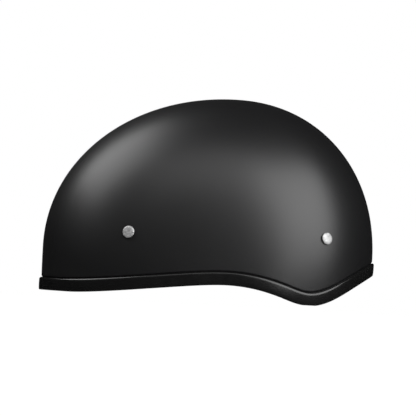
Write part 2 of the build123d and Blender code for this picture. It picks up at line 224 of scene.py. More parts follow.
class HelmetFinishSettings(bpy.types.PropertyGroup):
    """Colours and gloss"""

    shell: colour("Shell", (0.0034, 0.0034, 0.0036), "Satin black of the shell")
    shell_roughness: share("Shell roughness", 0.40, "Roughness of the satin finish")
    shell_gloss: share("Shell gloss", 0.3, "Strength of its reflections; 0.5 is plastic")
    rubber: colour("Rubber", (0.0026, 0.0026, 0.0026), "Rubber of the trim")
    zinc: colour("Rivet zinc", (0.24, 0.24, 0.24), "Rivets and washers")
    ring: colour("Ring", (0.56, 0.56, 0.57), "Plated wire of the rings")
    foam: colour("Foam", (0.030, 0.030, 0.032), "Expanded foam of the liner")
    cloth: colour("Pad cloth", (0.022, 0.022, 0.024), "Knitted cloth of the pads")
    binding: colour("Binding", (0.012, 0.012, 0.013), "Bound edges")
    webbing: colour("Webbing", (0.016, 0.016, 0.017), "Woven webbing")
    thread: colour("Thread", (0.045, 0.045, 0.047), "Sewing thread")
    plastic: colour("Plastic", (0.018, 0.018, 0.019), "Moulded dividers")
    ribbon: colour("Ribbon", (0.42, 0.018, 0.016), "Release tab")


class Number:
    """A number that varies over a surface, with Python's own operators."""

    def __init__(self, shade, socket):
        self.shade = shade
        self.socket = socket

    def __add__(self, other):
        return self.shade.math("ADD", self, other)

    __radd__ = __add__

    def __sub__(self, other):
        return self.shade.math("SUBTRACT", self, other)

    def __rsub__(self, other):
        return self.shade.math("SUBTRACT", other, self)

    def __mul__(self, other):
        return self.shade.math("MULTIPLY", self, other)

    __rmul__ = __mul__

    def __abs__(self):
        return self.shade.math("ABSOLUTE", self)


class Shade:
    """The nodes of one material, or of the world."""

    def __init__(self, name, kind="materials"):
        self.owner = getattr(bpy.data, kind).new(name)
        self.owner.use_nodes = True
        self.tree = self.owner.node_tree
        self.tree.nodes.clear()

    def node(self, kind, settings=None, inputs=None):
        """Adds a node: its settings first, then the values or links of its sockets."""
        made = self.tree.nodes.new(kind)
        for key, value in (settings or {}).items():
            setattr(made, key, value)
        for key, value in (inputs or {}).items():
            self.plug(made.inputs[key], value)
        return made

    def plug(self, socket, value):
        """Links a socket, or sets it."""
        if isinstance(value, Number):
            value = value.socket
        if isinstance(value, bpy.types.NodeSocket):
            self.tree.links.new(value, socket)
        elif isinstance(value, (tuple, list)) and len(value) == 3 and socket.type == "RGBA":
            socket.default_value = (*value, 1)
        else:
            socket.default_value = value

    def math(self, operation, *values):
        """A Math node on numbers."""
        made = self.node("ShaderNodeMath", {"operation": operation}, dict(enumerate(values)))
        return Number(self, made.outputs[0])

    def blend(self, factor, first, second):
        """A colour between two colours."""
        made = self.node("ShaderNodeMix", {"data_type": "RGBA"}, {0: factor, 6: first, 7: second})
        return made.outputs[2]

    def place(self):
        """The place on the piece, in metres, which doesn't slide when it moves."""
        return self.node("ShaderNodeTexCoord").outputs["Object"]

    def noise(self, scale, detail=2.0, roughness=0.5):
        """Cloudy noise, from 0 to 1."""
        inputs = {"Vector": self.place(), "Scale": scale, "Detail": detail, "Roughness": roughness}
        made = self.node("ShaderNodeTexNoise", None, inputs)
        return Number(self, made.outputs[0])

    def cells(self, scale, feature="F1"):
        """Distance in a pattern of cells."""
        inputs = {"Vector": self.place(), "Scale": scale}
        made = self.node("ShaderNodeTexVoronoi", {"feature": feature}, inputs)
        return Number(self, made.outputs["Distance"])

    def clamp(self, value, low, high):
        """0 up to the low value, 1 from the high one, and even between them."""
        made = self.node("ShaderNodeMapRange", None, {0: value, 1: low, 2: high})
        return Number(self, made.outputs[0])

    def shown_ray(self):
        """1 for what the camera or a reflection sees, 0 for light that only lights."""
        path = self.node("ShaderNodeLightPath")
        camera, glossy, clear = [
            Number(self, path.outputs[f"Is {kind} Ray"])
            for kind in ("Camera", "Glossy", "Transmission")
        ]
        return self.math("MAXIMUM", camera, self.math("MAXIMUM", glossy, clear))

    def bump(self, height, distance, strength=1.0):
        """A normal that follows a height, given in metres."""
        made = self.node(
            "ShaderNodeBump", None, {"Height": height, "Distance": distance, "Strength": strength}
        )
        return made.outputs[0]

    def surface(self, **inputs):
        """Ends the material in one shader."""
        names = {key.replace("_", " ").title(): value for key, value in inputs.items()}
        names = {key.replace("Ior", "IOR"): value for key, value in names.items()}
        shader = self.node("ShaderNodeBsdfPrincipled", None, names)
        self.node("ShaderNodeOutputMaterial", None, {"Surface": shader.outputs[0]})
        return self.owner


def finishes():
    """The colours and gloss that are set."""
    return bpy.context.scene.helmet_finish


def toned(tone, factor):
    """A colour times a number."""
    return tuple(part * factor for part in tone)


def satin_shell_finish():
    """Satin black over a moulded shell: a faint orange peel and uneven gloss."""
    shade = Shade("satin_black_shell")
    tone = finishes().shell
    cloud = shade.noise(14.0, 3.0)
    grain = shade.noise(2600.0, 1.0)
    peel = shade.noise(420.0, 2.0)
    return shade.surface(
        base_color=shade.blend(cloud, toned(tone, 0.86), toned(tone, 1.14)),
        roughness=finishes().shell_roughness + (cloud - 0.5) * 0.05 + (grain - 0.5) * 0.06,
        normal=shade.bump(peel + grain * 0.35, 0.00004, 0.6),
        specular_ior_level=finishes().shell_gloss,
    )


def rubber_finish():
    """Extruded rubber: fine drag lines and a dull bloom."""
    shade = Shade("trim_rubber")
    tone = finishes().rubber
    bloom = shade.noise(60.0, 4.0, 0.6)
    grain = shade.noise(1500.0, 2.0)
    return shade.surface(
        base_color=shade.blend(bloom, toned(tone, 0.7), toned(tone, 1.5)),
        roughness=0.25 + (bloom - 0.5) * 0.12,
        normal=shade.bump(grain, 0.00003, 0.5),
        specular_ior_level=0.26,
    )


def rivet_finish():
    """Dull zinc: a slightly hammered face, smears, and painted shade that colours the head's foot
    near black where it meets the shell.
    """
    shade = Shade("dull_rivet_zinc")
    tone = finishes().zinc
    foot = shade.node("ShaderNodeAttribute", {"attribute_name": "rivet_foot_painted_shade"})
    dents = shade.noise(420.0, 2.0)
    marks = shade.noise(1400.0, 4.0, 0.7)
    face = shade.blend(shade.clamp(dents, 0.3, 0.7), toned(tone, 0.6), toned(tone, 1.2))
    return shade.surface(
        # The foot of each head is painted near black: painted shade where the head meets the shell.
        base_color=shade.blend(Number(shade, foot.outputs["Fac"]), face, toned(tone, 0.06)),
        metallic=0.55,
        roughness=0.46 + (marks - 0.5) * 0.2,
        normal=shade.bump(dents + marks * 0.25, 0.0007, 0.6),
    )


def wire_finish():
    """Plated wire: fine drawing marks and faint smears."""
    shade = Shade("plated_ring_wire")
    tone = finishes().ring
    marks = shade.noise(900.0, 4.0, 0.7)
    smear = shade.noise(160.0, 3.0)
    return shade.surface(
        base_color=shade.blend(smear, toned(tone, 0.82), toned(tone, 1.12)),
        metallic=1.0,
        roughness=0.22 + (smear - 0.5) * 0.14,
        normal=shade.bump(marks, 0.00004, 0.5),
    )


def foam_finish():
    """Expanded foam: fused beads with fine gaps, skinned over in places; the gaps carry painted
    shade.
    """
    shade = Shade("bead_foam")
    tone = finishes().foam
    beads = shade.cells(330.0)
    seams = shade.clamp(shade.cells(330.0, "DISTANCE_TO_EDGE"), 0.0, 0.14)
    skin = shade.noise(25.0, 2.0)
    return shade.surface(
        # Darker along the gaps between beads: painted shade in them.
        base_color=shade.blend(seams, toned(tone, 0.78), toned(tone, 1.05)),
        roughness=0.7 + (skin - 0.5) * 0.16,
        normal=shade.bump(seams * 0.5 - beads * 0.5, 0.0002, 0.8),
    )


def cloth_finish():
    """Knitted spacer cloth: small round cells between raised yarns, with painted shade in the cells'
    holes.
    """
    shade = Shade("pad_cloth")
    tone = finishes().cloth
    holes = shade.clamp(shade.cells(760.0), 0.22, 0.6)
    fuzz = shade.noise(4200.0, 3.0, 0.7)
    wear = shade.noise(38.0, 3.0)
    yarn = shade.blend(wear, toned(tone, 0.85), toned(tone, 1.35))
    return shade.surface(
        # The holes are painted dark: painted shade in the recesses.
        base_color=shade.blend(holes, toned(tone, 0.45), yarn),
        roughness=0.86 + (wear - 0.5) * 0.1,
        normal=shade.bump(holes + fuzz * 0.3, 0.00025, 0.9),
        sheen_weight=0.25,
        sheen_roughness=0.5,
    )


def binding_finish():
    """A narrow woven tape folded round an edge."""
    shade = Shade("binding_tape")
    tone = finishes().binding
    ribs = shade.noise(1800.0, 2.0)
    return shade.surface(
        base_color=shade.blend(ribs, toned(tone, 0.7), toned(tone, 1.6)),
        roughness=0.7 + (ribs - 0.5) * 0.2,
        normal=shade.bump(ribs, 0.00012, 0.8),
    )


def woven_finish(name, tone, pitch):
    """Flat webbing: ribs along it, crossed by the weft in a checker, with painted shade in the
    furrows between the ribs.
    """
    shade = Shade(name)
    place = shade.node("ShaderNodeAttribute", {"attribute_name": "weave_place"})
    split = shade.node("ShaderNodeSeparateXYZ", None, {0: place.outputs["Vector"]})
    along = Number(shade, split.outputs[0])
    across = Number(shade, split.outputs[1])
    ribs = shade.math("SINE", across * (2 * math.pi / pitch))
    weft = shade.math("SINE", along * (2 * math.pi / (pitch * 1.25)))
    knots = ribs * weft
    furrow = 1 - abs(shade.math("SINE", across * (math.pi / pitch)))
    fuzz = shade.noise(3800.0, 2.0)
    wear = shade.noise(55.0, 3.0)
    height = knots * 0.5 - furrow * 0.6 + fuzz * 0.35
    yarn = shade.blend(wear, toned(tone, 0.8), toned(tone, 1.35))
    return shade.surface(
        # The furrows are painted dark: painted shade in the grooves between the ribs.
        base_color=shade.blend(shade.clamp(furrow, 0.5, 1.0), yarn, toned(tone, 0.35)),
        roughness=0.58 + (wear - 0.5) * 0.16 + knots * 0.05,
        normal=shade.bump(height, 0.00022, 0.9),
        sheen_weight=0.15,
        sheen_roughness=0.4,
    )


def thread_finish():
    """Bonded sewing thread."""
    shade = Shade("sewing_thread")
    tone = finishes().thread
    twist = shade.noise(3000.0, 2.0)
    return shade.surface(
        base_color=shade.blend(twist, toned(tone, 0.6), toned(tone, 1.4)),
        roughness=0.45 + (twist - 0.5) * 0.2,
        normal=shade.bump(twist, 0.00008, 0.7),
    )


def plastic_finish():
    """Moulded plastic with a fine spark-eroded grain."""
    shade = Shade("moulded_plastic")
    tone = finishes().plastic
    grain = shade.noise(1900.0, 3.0, 0.6)
    flow = shade.noise(30.0, 2.0)
    return shade.surface(
        base_color=shade.blend(flow, toned(tone, 0.85), toned(tone, 1.2)),
        roughness=0.42 + (grain - 0.5) * 0.2,
        normal=shade.bump(grain, 0.00008, 0.7),
    )


def floor_finish():
    """A pale floor that shows white, keeps the object's shadow, and is clear from below."""
    shade = Shade("pale_floor")
    cloud = shade.noise(3.0, 2.0)
    tone = shade.blend(cloud, (0.86, 0.86, 0.86), (0.88, 0.88, 0.88))
    matt = shade.node("ShaderNodeBsdfDiffuse", None, {"Color": tone})
    glow = shade.node("ShaderNodeEmission", None, {"Color": WHITE, "Strength": 0.55})
    both = shade.node("ShaderNodeAddShader", None, {0: matt.outputs[0], 1: glow.outputs[0]})
    sides = {0: shade.shown_ray(), 1: matt.outputs[0], 2: both.outputs[0]}
    mixed = shade.node("ShaderNodeMixShader", None, sides)
    below = shade.node("ShaderNodeNewGeometry").outputs["Backfacing"]
    clear = shade.node("ShaderNodeBsdfTransparent")
    sides = {0: below, 1: mixed.outputs[0], 2: clear.outputs[0]}
    sheet = shade.node("ShaderNodeMixShader", None, sides)
    shade.node("ShaderNodeOutputMaterial", None, {"Surface": sheet.outputs[0]})
    return shade.owner


def piece(name, points, faces, material, body, slot):
    """A smooth mesh object that rides on a body."""
    mesh = bpy.data.meshes.new(name)
    mesh.from_pydata([tuple(map(float, point)) for point in points], [], faces)
    mesh.validate()
    mesh.update()
    mesh.materials.append(material)
    mesh.polygons.foreach_set("use_smooth", [True] * len(mesh.polygons))
    made = bpy.data.objects.new(name, mesh)
    bpy.context.scene.collection.objects.link(made)
    if body:
        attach(made, body)
    return made


def soften(made):
    """One more level of faces, so that cloth reads as round."""
    finer = made.modifiers.new("finer", "SUBSURF")
    finer.levels = 1
    finer.render_levels = 1


def give_finish(name, material):
    """Gives a frame node its material; the node keeps its shape."""
    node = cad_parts[name]
    node.data.materials.clear()
    node.data.materials.append(material)


def quads(rows, columns, start=0, wrap_rows=False, wrap_columns=False, flip=False):
    """Faces of a grid of points that is stored row by row."""
    faces = []
    for row in range(rows if wrap_rows else rows - 1):
        for column in range(columns if wrap_columns else columns - 1):
            above = (row + 1) % rows * columns
            beside = (column + 1) % columns
            here = row * columns
            face = (here + column, here + beside, above + beside, above + column)
            face = tuple(start + corner for corner in face)
            faces.append(face[::-1] if flip else face)
    return faces


def unit(vectors):
    """Vectors of length 1."""
    return vectors / np.linalg.norm(vectors, axis=-1, keepdims=True).clip(1e-12)


def ease(value):
    """A smooth step from 0 to 1."""
    value = np.clip(value, 0, 1)
    return value * value * (3 - 2 * value)


def natural_curve(xs, zs):
    """A smooth curve through a few points, as a function of x."""
    xs, zs = np.array(xs, float), np.array(zs, float)
    gaps = np.diff(xs)
    count = len(xs)
    system = np.eye(count)
    right = np.zeros(count)
    for i in range(1, count - 1):
        system[i, i - 1 : i + 2] = gaps[i - 1], 2 * (gaps[i - 1] + gaps[i]), gaps[i]
        right[i] = 6 * ((zs[i + 1] - zs[i]) / gaps[i] - (zs[i] - zs[i - 1]) / gaps[i - 1])
    bends = np.linalg.solve(system, right)

    def height(x):
        spot = np.clip(np.searchsorted(xs, x) - 1, 0, count - 2)
        gap = gaps[spot]
        after = (x - xs[spot]) / gap
        before = 1 - after
        curved = (before**3 - before) * bends[spot] + (after**3 - after) * bends[spot + 1]
        return before * zs[spot] + after * zs[spot + 1] + curved * gap**2 / 6

    return height


class Dome:
    """The helmet's rounded form, at any depth under its outer surface."""

    def __init__(self):
        self.form = bpy.context.scene.helmet_shell
        form = self.form
        self.crown_x = (form.front_reach - form.rear_reach - form.trim_wall) / 2
        half = (form.front_reach + form.rear_reach) / 2
        self.rim = natural_curve(
            [x * half for x, z in RIM_SHARES],
            [z * form.arch_rise - form.flat_depth for x, z in RIM_SHARES],
        )
        self.middle = np.array([self.crown_x, 0, form.crown_height - form.front_drop])

    def fill(self, points, depth):
        """1 on the surface at a depth, less inside it and more outside."""
        form = self.form
        x, y, z = points[..., 0], points[..., 1], points[..., 2]
        across = (abs(y) / (form.half_width - depth)) ** form.width_power
        scale = np.clip(1 - across, 1e-7, 1) ** (1 / form.width_power)
        ahead = x < self.crown_x
        reach = np.where(ahead, form.front_reach, form.rear_reach) - depth
        drop = np.where(ahead, form.front_drop, form.rear_drop)
        power = np.where(ahead, form.front_power, form.rear_power)
        height = (z + form.keel) / scale - form.keel
        along = abs(x - self.crown_x) / scale / reach
        waist = form.crown_height - drop
        bend = np.where(ahead, form.front_tuck, form.rear_tuck)
        tuck = np.sqrt(np.clip(1 - ((waist - height) / bend) ** 2, 1e-6, 1))
        rise = np.clip(height - waist, 0, None) / (drop - depth)
        return np.where(height < waist, along / tuck, along**power + rise**power)

    def cast(self, origins, directions, depth):
        """Where lines from inside meet the surface at a depth."""
        origins, directions = np.broadcast_arrays(np.asarray(origins, float), directions)
        depth = np.broadcast_to(np.asarray(depth, float), origins.shape[:-1])
        furthest, halvings = 0.25, 42
        low = np.zeros(origins.shape[:-1])
        high = np.full(origins.shape[:-1], furthest)
        for _ in range(halvings):
            middle = (low + high) / 2
            outside = self.fill(origins + directions * middle[..., None], depth) > 1
            high = np.where(outside, middle, high)
            low = np.where(outside, low, middle)
        return origins + directions * low[..., None]

    def normal(self, points):
        """Directions square to the outer surface, outwards."""
        step = 2 * FINE
        slopes = []
        for axis in np.eye(3):
            ahead = self.fill(points + axis * step, 0.0)
            slopes.append(ahead - self.fill(points - axis * step, 0.0))
        return unit(np.stack(slopes, -1))

    def ray(self, azimuth, elevation):
        """A point of the outer surface, by its direction from the middle; azimuth 0 is the back."""
        flat = np.cos(elevation)
        ways = (flat * np.cos(azimuth), flat * np.sin(azimuth), np.sin(elevation))
        return self.cast(self.middle, np.stack(np.broadcast_arrays(*ways), -1), 0.0)

    def rivet_spot(self, end):
        """A rivet's place in the side view, in front or behind."""
        form = self.form
        if end == FRONT:
            return self.crown_x - form.front_rivet_spread, form.front_rivet_height
        return self.crown_x + form.rear_rivet_spread, form.rear_rivet_height

    def side(self, x, z, depth):
        """Half the width at a place in the side view."""
        x, z = np.broadcast_arrays(np.asarray(x, float), np.asarray(z, float))
        origins = np.stack([x, np.zeros_like(x), z], -1)
        return self.cast(origins, np.array([0.0, 1.0, 0.0]), depth)[..., 1]

    def rim_elevation(self, azimuth):
        """The elevation at which each azimuth meets the rim line."""
        steepest, halvings = 0.6, 36
        low = np.full(azimuth.shape, -steepest)
        high = np.full(azimuth.shape, steepest)
        for _ in range(halvings):
            middle = (low + high) / 2
            spot = self.ray(azimuth, middle)
            over = spot[..., 2] > self.rim(spot[..., 0])
            high = np.where(over, middle, high)
            low = np.where(over, low, middle)
        return (low + high) / 2

    def rim_strip(self, azimuth, heights):
        """Surface points at heights above the rim line, with the normals there."""
        base = self.ray(azimuth, self.rim_elevation(azimuth))
        nudge = 0.001
        after = self.ray(azimuth + nudge, self.rim_elevation(azimuth + nudge))
        before = self.ray(azimuth - nudge, self.rim_elevation(azimuth - nudge))
        outward = self.normal(base)
        up = unit(np.cross(outward, unit(after - before)))
        up = up * np.sign(up[..., 2:])
        rows = base[None] + up[None] * np.asarray(heights)[:, None, None]
        spots = self.cast(self.middle, unit(rows - self.middle), 0.0)
        return spots, self.normal(spots)


def around(count):
    """Evenly spaced azimuths, all the way round."""
    return np.arange(count) / count * 2 * math.pi


def build_shell():
    """The moulded shell: outer and inner skin, joined along the rim inside the trim."""
    dome = Dome()
    form = dome.form
    columns, rows = 288, 84
    azimuth = around(columns)
    lap = 12 * FINE
    foot, head = form.trim_height - lap, form.trim_height + form.seam_gap
    steps = [form.trim_floor, foot, foot + lap / 4, head, head + lap / 6, head + lap / 2, head + lap]
    sunk_shares = [0, 0, 1, 1, 0.25, 0, 0]
    sunk = np.array(sunk_shares)[:, None, None] * form.seam_depth
    low_rows, low_normals = dome.rim_strip(azimuth, steps)
    edge = low_rows[-1]
    flat = np.linalg.norm(edge[:, :2] - dome.middle[:2], axis=1)
    start = np.arctan2(edge[:, 2] - dome.middle[2], flat)
    share_up = np.arange(1, rows + 1)[:, None] / (rows + 1)
    outer = dome.ray(azimuth[None], start[None] + (math.pi / 2 - start[None]) * share_up)
    normals = np.concatenate([low_normals, dome.normal(outer)])
    outer = np.concatenate([low_rows - low_normals * sunk, outer])
    inner = np.concatenate([low_rows, outer[len(steps):]]) - normals * form.wall
    rows += len(steps)
    crown = dome.ray(np.zeros(1), np.full(1, math.pi / 2))
    points = np.concatenate([inner[::-1].reshape(-1, 3), outer.reshape(-1, 3), crown, crown])
    points[-2, 2] -= form.wall
    faces = quads(2 * rows, columns, wrap_columns=True)
    low, high = len(points) - 2, len(points) - 1
    last = (2 * rows - 1) * columns
    for column in range(columns):
        beside = (column + 1) % columns
        faces.append((low, beside, column))
        faces.append((high, last + column, last + beside))
    made = piece("shell", points, faces, satin_shell_finish(), "helmet", "shell")
    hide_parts("outer_shell")


def trim_profile(form):
    """The trim's section: heights above the rim line, and distances out from the shell."""
    tall, wall, floor, leg = form.trim_height, form.trim_wall, form.trim_floor, form.trim_inner_leg
    inside = form.wall + wall
    lip = wall / 2
    contact = 0.3 * FINE
    return [
        (tall, contact),
        (tall + FINE, 0.35 * wall),
        (tall - 3 * FINE, 0.75 * wall),
        (tall - 9 * FINE, wall),
        (tall - 22 * FINE, 1.04 * wall),
        (tall * 0.5, 1.08 * wall),
        (floor + 6 * FINE, 1.05 * wall),
        (10 * FINE, 0.98 * wall),
        (4 * FINE, 0.80 * wall),
        (0.0, 0.45 * wall),
        (0.0, 0.0),
        (0.0, -form.wall),
        (0.0, -inside + lip),
        (4 * FINE, -inside + 0.2 * wall),
        (11 * FINE, -inside),
        (leg - 7 * FINE, -inside),
        (leg, -inside + lip),
        (leg, -form.wall - contact),
        (floor, -form.wall - contact),
        (floor, contact),
    ]


def build_trim():
    """The rubber trim: one extruded channel round the rim, butted at the back."""
    dome = Dome()
    form = dome.form
    columns = 420
    butt, butt_shrink = 0.0012, 0.93
    swell_focus, swell_top_share = 10, 0.35
    azimuth = np.linspace(butt, 2 * math.pi - butt, columns)
    profile = trim_profile(form)
    spots, normals = dome.rim_strip(azimuth, [u for u, n in profile])
    out = np.array([n for u, n in profile])[:, None, None]
    low = np.array([1 - u / form.trim_height for u, n in profile])[:, None, None].clip(0, 1)
    ahead = np.clip(-np.cos(azimuth), 0, 1)[None, :, None] ** swell_focus
    swell = form.front_swell * (swell_top_share + (1 - swell_top_share) * low) * ahead
    out = out + np.where(out > FINE, swell * np.clip(out / form.trim_wall, 0, 1), 0)
    points = spots + normals * out
    points[..., 2] = points[..., 2].clip(0)
    middle = points.mean(0)
    for end in (0, -1):
        points[:, end] = middle[end] + (points[:, end] - middle[end]) * butt_shrink
    rows = len(profile)
    faces = quads(rows, columns, wrap_rows=True, flip=True)
    faces.append(tuple(row * columns for row in range(rows)))
    faces.append(tuple(row * columns + columns - 1 for row in range(rows))[::-1])
    points = points.reshape(-1, 3)
    made = piece("rubber_trim", points, faces, rubber_finish(), "helmet", "trim_rubber")
    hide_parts("edge_trim")


def lathe(profile, steps):
    """A turned form about z, as points and faces; the profile runs from axis to axis."""
    turns = around(steps)
    points = [(0, 0, profile[0][1])]
    for radius, height in profile[1:-1]:
        points += [(radius * math.cos(t), radius * math.sin(t), height) for t in turns]
    points.append((0, 0, profile[-1][1]))
    rows = len(profile) - 2
    faces = quads(rows, steps, start=1, wrap_columns=True, flip=True)
    last = len(points) - 1
    base = 1 + (rows - 1) * steps
    for step in range(steps):
        beside = (step + 1) % steps
        faces.append((0, 1 + step, 1 + beside))
        faces.append((last, base + beside, base + step))
    return np.array(points), faces


def rivet_profile(form):
    """A nearly flat head with a straight side, its shank and its spread tail."""
    radius, rise = form.rivet_radius, form.rivet_rise
    shank, tail = 0.0024, 0.0045
    under = -0.0061
    spread = under - 12 * FINE
    return [
        (0, rise),
        (0.25 * radius, rise),
        (0.50 * radius, 0.99 * rise),
        (0.70 * radius, 0.96 * rise),
        (0.83 * radius, 0.90 * rise),
        (0.91 * radius, 0.80 * rise),
        (0.96 * radius, 0.66 * rise),
        (0.975 * radius, 0.50 * rise),
        (0.98 * radius, 0.12 * rise),
        (0.97 * radius, -3 * FINE),
        (shank, -4 * FINE),
        (shank, under),
        (tail, under - 2 * FINE),
        (tail, under - 9 * FINE),
        (0.7 * tail, spread),
        (0, spread),
    ]


def build_rivets():
    """Four rivets, square to the shell where they go through it."""
    dome = Dome()
    form = dome.form
    turned, turned_faces = lathe(rivet_profile(form), 64)
    # Painted shade mask: 1 on the lower side of each head and everything under it, fading to 0 up the
    # head.
    clean_share, fade_share = 0.72, 0.3
    foot = np.clip((clean_share - turned[:, 2] / form.rivet_rise) / fade_share, 0, 1)
    points, faces = [], []
    for way in (FRONT, REAR):
        x, height = dome.rivet_spot(way)
        for side in (LEFT, RIGHT):
            spot = np.array([x, side * float(dome.side(x, height, 0.0)), height])
            outward = Vector(dome.normal(spot))
            turn = np.array(outward.to_track_quat("Z", "Y").to_matrix())
            faces += [tuple(len(points) + corner for corner in face) for face in turned_faces]
            points += list(turned @ turn.T + spot)
    material = rivet_finish()
    made = piece("rivets", points, faces, material, "helmet", "rivet_steel")
    shade_line = made.data.attributes.new("rivet_foot_painted_shade", "FLOAT", "POINT")
    shade_line.data.foreach_set("value", np.tile(foot, 4).astype(np.float32))
    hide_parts("strap_rivets")
    give_finish("rivet_washers", material)


def build_foam():
    """The bead foam liner keeps its own shape and gets its finish."""
    give_finish("impact_liner", foam_finish())


def inflate(cloth_piece, held, most):
    """Air pressure rounds the cloth between its seams; no point moves further than the most."""
    scene = bpy.context.scene
    group = cloth_piece.vertex_groups.new(name="held")
    group.add([int(index) for index in held], 1.0, "REPLACE")
    cloth = cloth_piece.modifiers.new("air", "CLOTH")
    cloth.settings.vertex_group_mass = "held"
    cloth.settings.use_pressure = True
    cloth.settings.uniform_pressure_force = 4.0
    cloth.settings.effector_weights.gravity = 0.0
    cloth.settings.quality = 5
    cloth.point_cache.frame_start = 1
    cloth.point_cache.frame_end = 20
    for step in range(1, 21):
        scene.frame_set(step)
    graph = bpy.context.evaluated_depsgraph_get()
    grown = cloth_piece.evaluated_get(graph).to_mesh()
    after = np.array([point.co for point in grown.vertices])
    cloth_piece.evaluated_get(graph).to_mesh_clear()
    cloth_piece.modifiers.remove(cloth)
    cloth_piece.vertex_groups.clear()
    before = np.array([point.co for point in cloth_piece.data.vertices])
    moved = after - before
    far = np.linalg.norm(moved, axis=1, keepdims=True).clip(1e-9)
    after = before + moved * (most * np.tanh(far / most) / far)
    cloth_piece.data.vertices.foreach_set("co", after.ravel())
    cloth_piece.data.update()
    scene.frame_set(1)


def nearest(points, others):
    """The distance from each point to the nearest of some others."""
    flat = points.reshape(-1, 3)
    found = np.full(len(flat), np.inf)
    for other in others:
        found = np.minimum(found, np.linalg.norm(flat - other, axis=1))
    return found.reshape(points.shape[:-1])


def outline(grid):
    """The border points of a grid, in order."""
    return np.concatenate([grid[0], grid[1:, -1], grid[-1, -2::-1], grid[-2:0:-1, 0]])


def tube(path, radius, sides=10):
    """A closed tube along a closed path."""
    count = len(path)
    ways = unit(np.roll(path, -1, 0) - np.roll(path, 1, 0))
    lift = np.array([0.0, 0.0, 1.0])
    first = unit(np.cross(ways, lift))
    second = np.cross(first, ways)
    turns = around(sides)[None, :, None]
    ring = first[:, None] * np.cos(turns) + second[:, None] * np.sin(turns)
    points = path[:, None] + ring * radius
    return points.reshape(-1, 3), quads(count, sides, wrap_rows=True, wrap_columns=True)


def build_pad(name, place, columns, rows, channels, node):
    """A crowned pad on the foam: flat at its back, rolled edges, sewn channels, bound edge."""
    lining = bpy.context.scene.helmet_lining
    base = lining.foam_depth + lining.seat_gap
    seam, sewn_wall, pinch_share = 0.0016, 0.0012, 0.72
    held_edge, held_seam = 0.0025, 0.0012
    across = np.linspace(0, 1, columns)[None]
    up = np.linspace(0, 1, rows)[:, None]
    back = place(*np.broadcast_arrays(across, up), base)
    border = outline(back)
    edge = nearest(back, border)
    share_in = np.clip(edge / lining.roll, 0, 1)
    crown = np.sqrt(1 - (1 - share_in) ** 2)
    thickness = seam + (lining.pad_wall - lining.swell - seam) * crown
    sewn = np.full(back.shape[:-1], np.inf)
    for start, end in channels:
        steps = np.linspace(0, 1, 60)
        over = start[0] + (end[0] - start[0]) * steps
        upward = start[1] + (end[1] - start[1]) * steps
        sewn = np.minimum(sewn, nearest(back, place(over, upward, base)))
    pinch = np.exp(-((sewn / lining.channel) ** 2))
    thickness = thickness * (1 - pinch_share * pinch) + sewn_wall * pinch
    front = place(*np.broadcast_arrays(across, up), base + thickness)
    points = np.concatenate([front.reshape(-1, 3), back.reshape(-1, 3)])
    count = rows * columns
    faces = quads(rows, columns) + quads(rows, columns, start=count, flip=True)
    ring = outline(np.arange(count).reshape(rows, columns)[..., None])[:, 0]
    for here, there in zip(ring, np.roll(ring, -1)):
        faces.append((int(here), int(here) + count, int(there) + count, int(there)))
    made = piece(name, points, faces, bpy.data.materials["pad_cloth"], None, "pad_fabric")
    turn_outwards(made)
    on_front = np.arange(count)
    free = (edge.reshape(-1) > held_edge) & (sewn.reshape(-1) > held_seam)
    held = np.concatenate([on_front[~free], count + on_front])
    inflate(made, held, lining.swell)
    soften(made)
    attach(made, "helmet")
    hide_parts(node)
    tape_share = 0.6
    middle = place(*np.broadcast_arrays(across, up), base + seam * tape_share)
    points, faces = tube(outline(middle), lining.binding)
    tape = bpy.data.materials["binding_tape"]
    piece(name + "_binding", points, faces, tape, "helmet", "pad_fabric")


def turn_outwards(made):
    """Points every face of a closed mesh outwards."""
    bpy.context.view_layer.objects.active = made
    bpy.ops.object.mode_set(mode="EDIT")
    bpy.ops.mesh.select_all(action="SELECT")
    bpy.ops.mesh.normals_make_consistent(inside=False)
    bpy.ops.object.mode_set(mode="OBJECT")


def rounded(across, up, wide, tall, low_corner, high_corner):
    """Draws a rectangle's rows in at its ends, so that its corners are round."""
    inset = np.zeros_like(up)
    for gap, radius in ((up * tall, low_corner), ((1 - up) * tall, high_corner)):
        near = np.clip(radius - gap, 0, radius)
        inset = np.maximum(inset, radius - np.sqrt(radius**2 - near**2))
    return inset / wide + across * (1 - 2 * inset / wide)


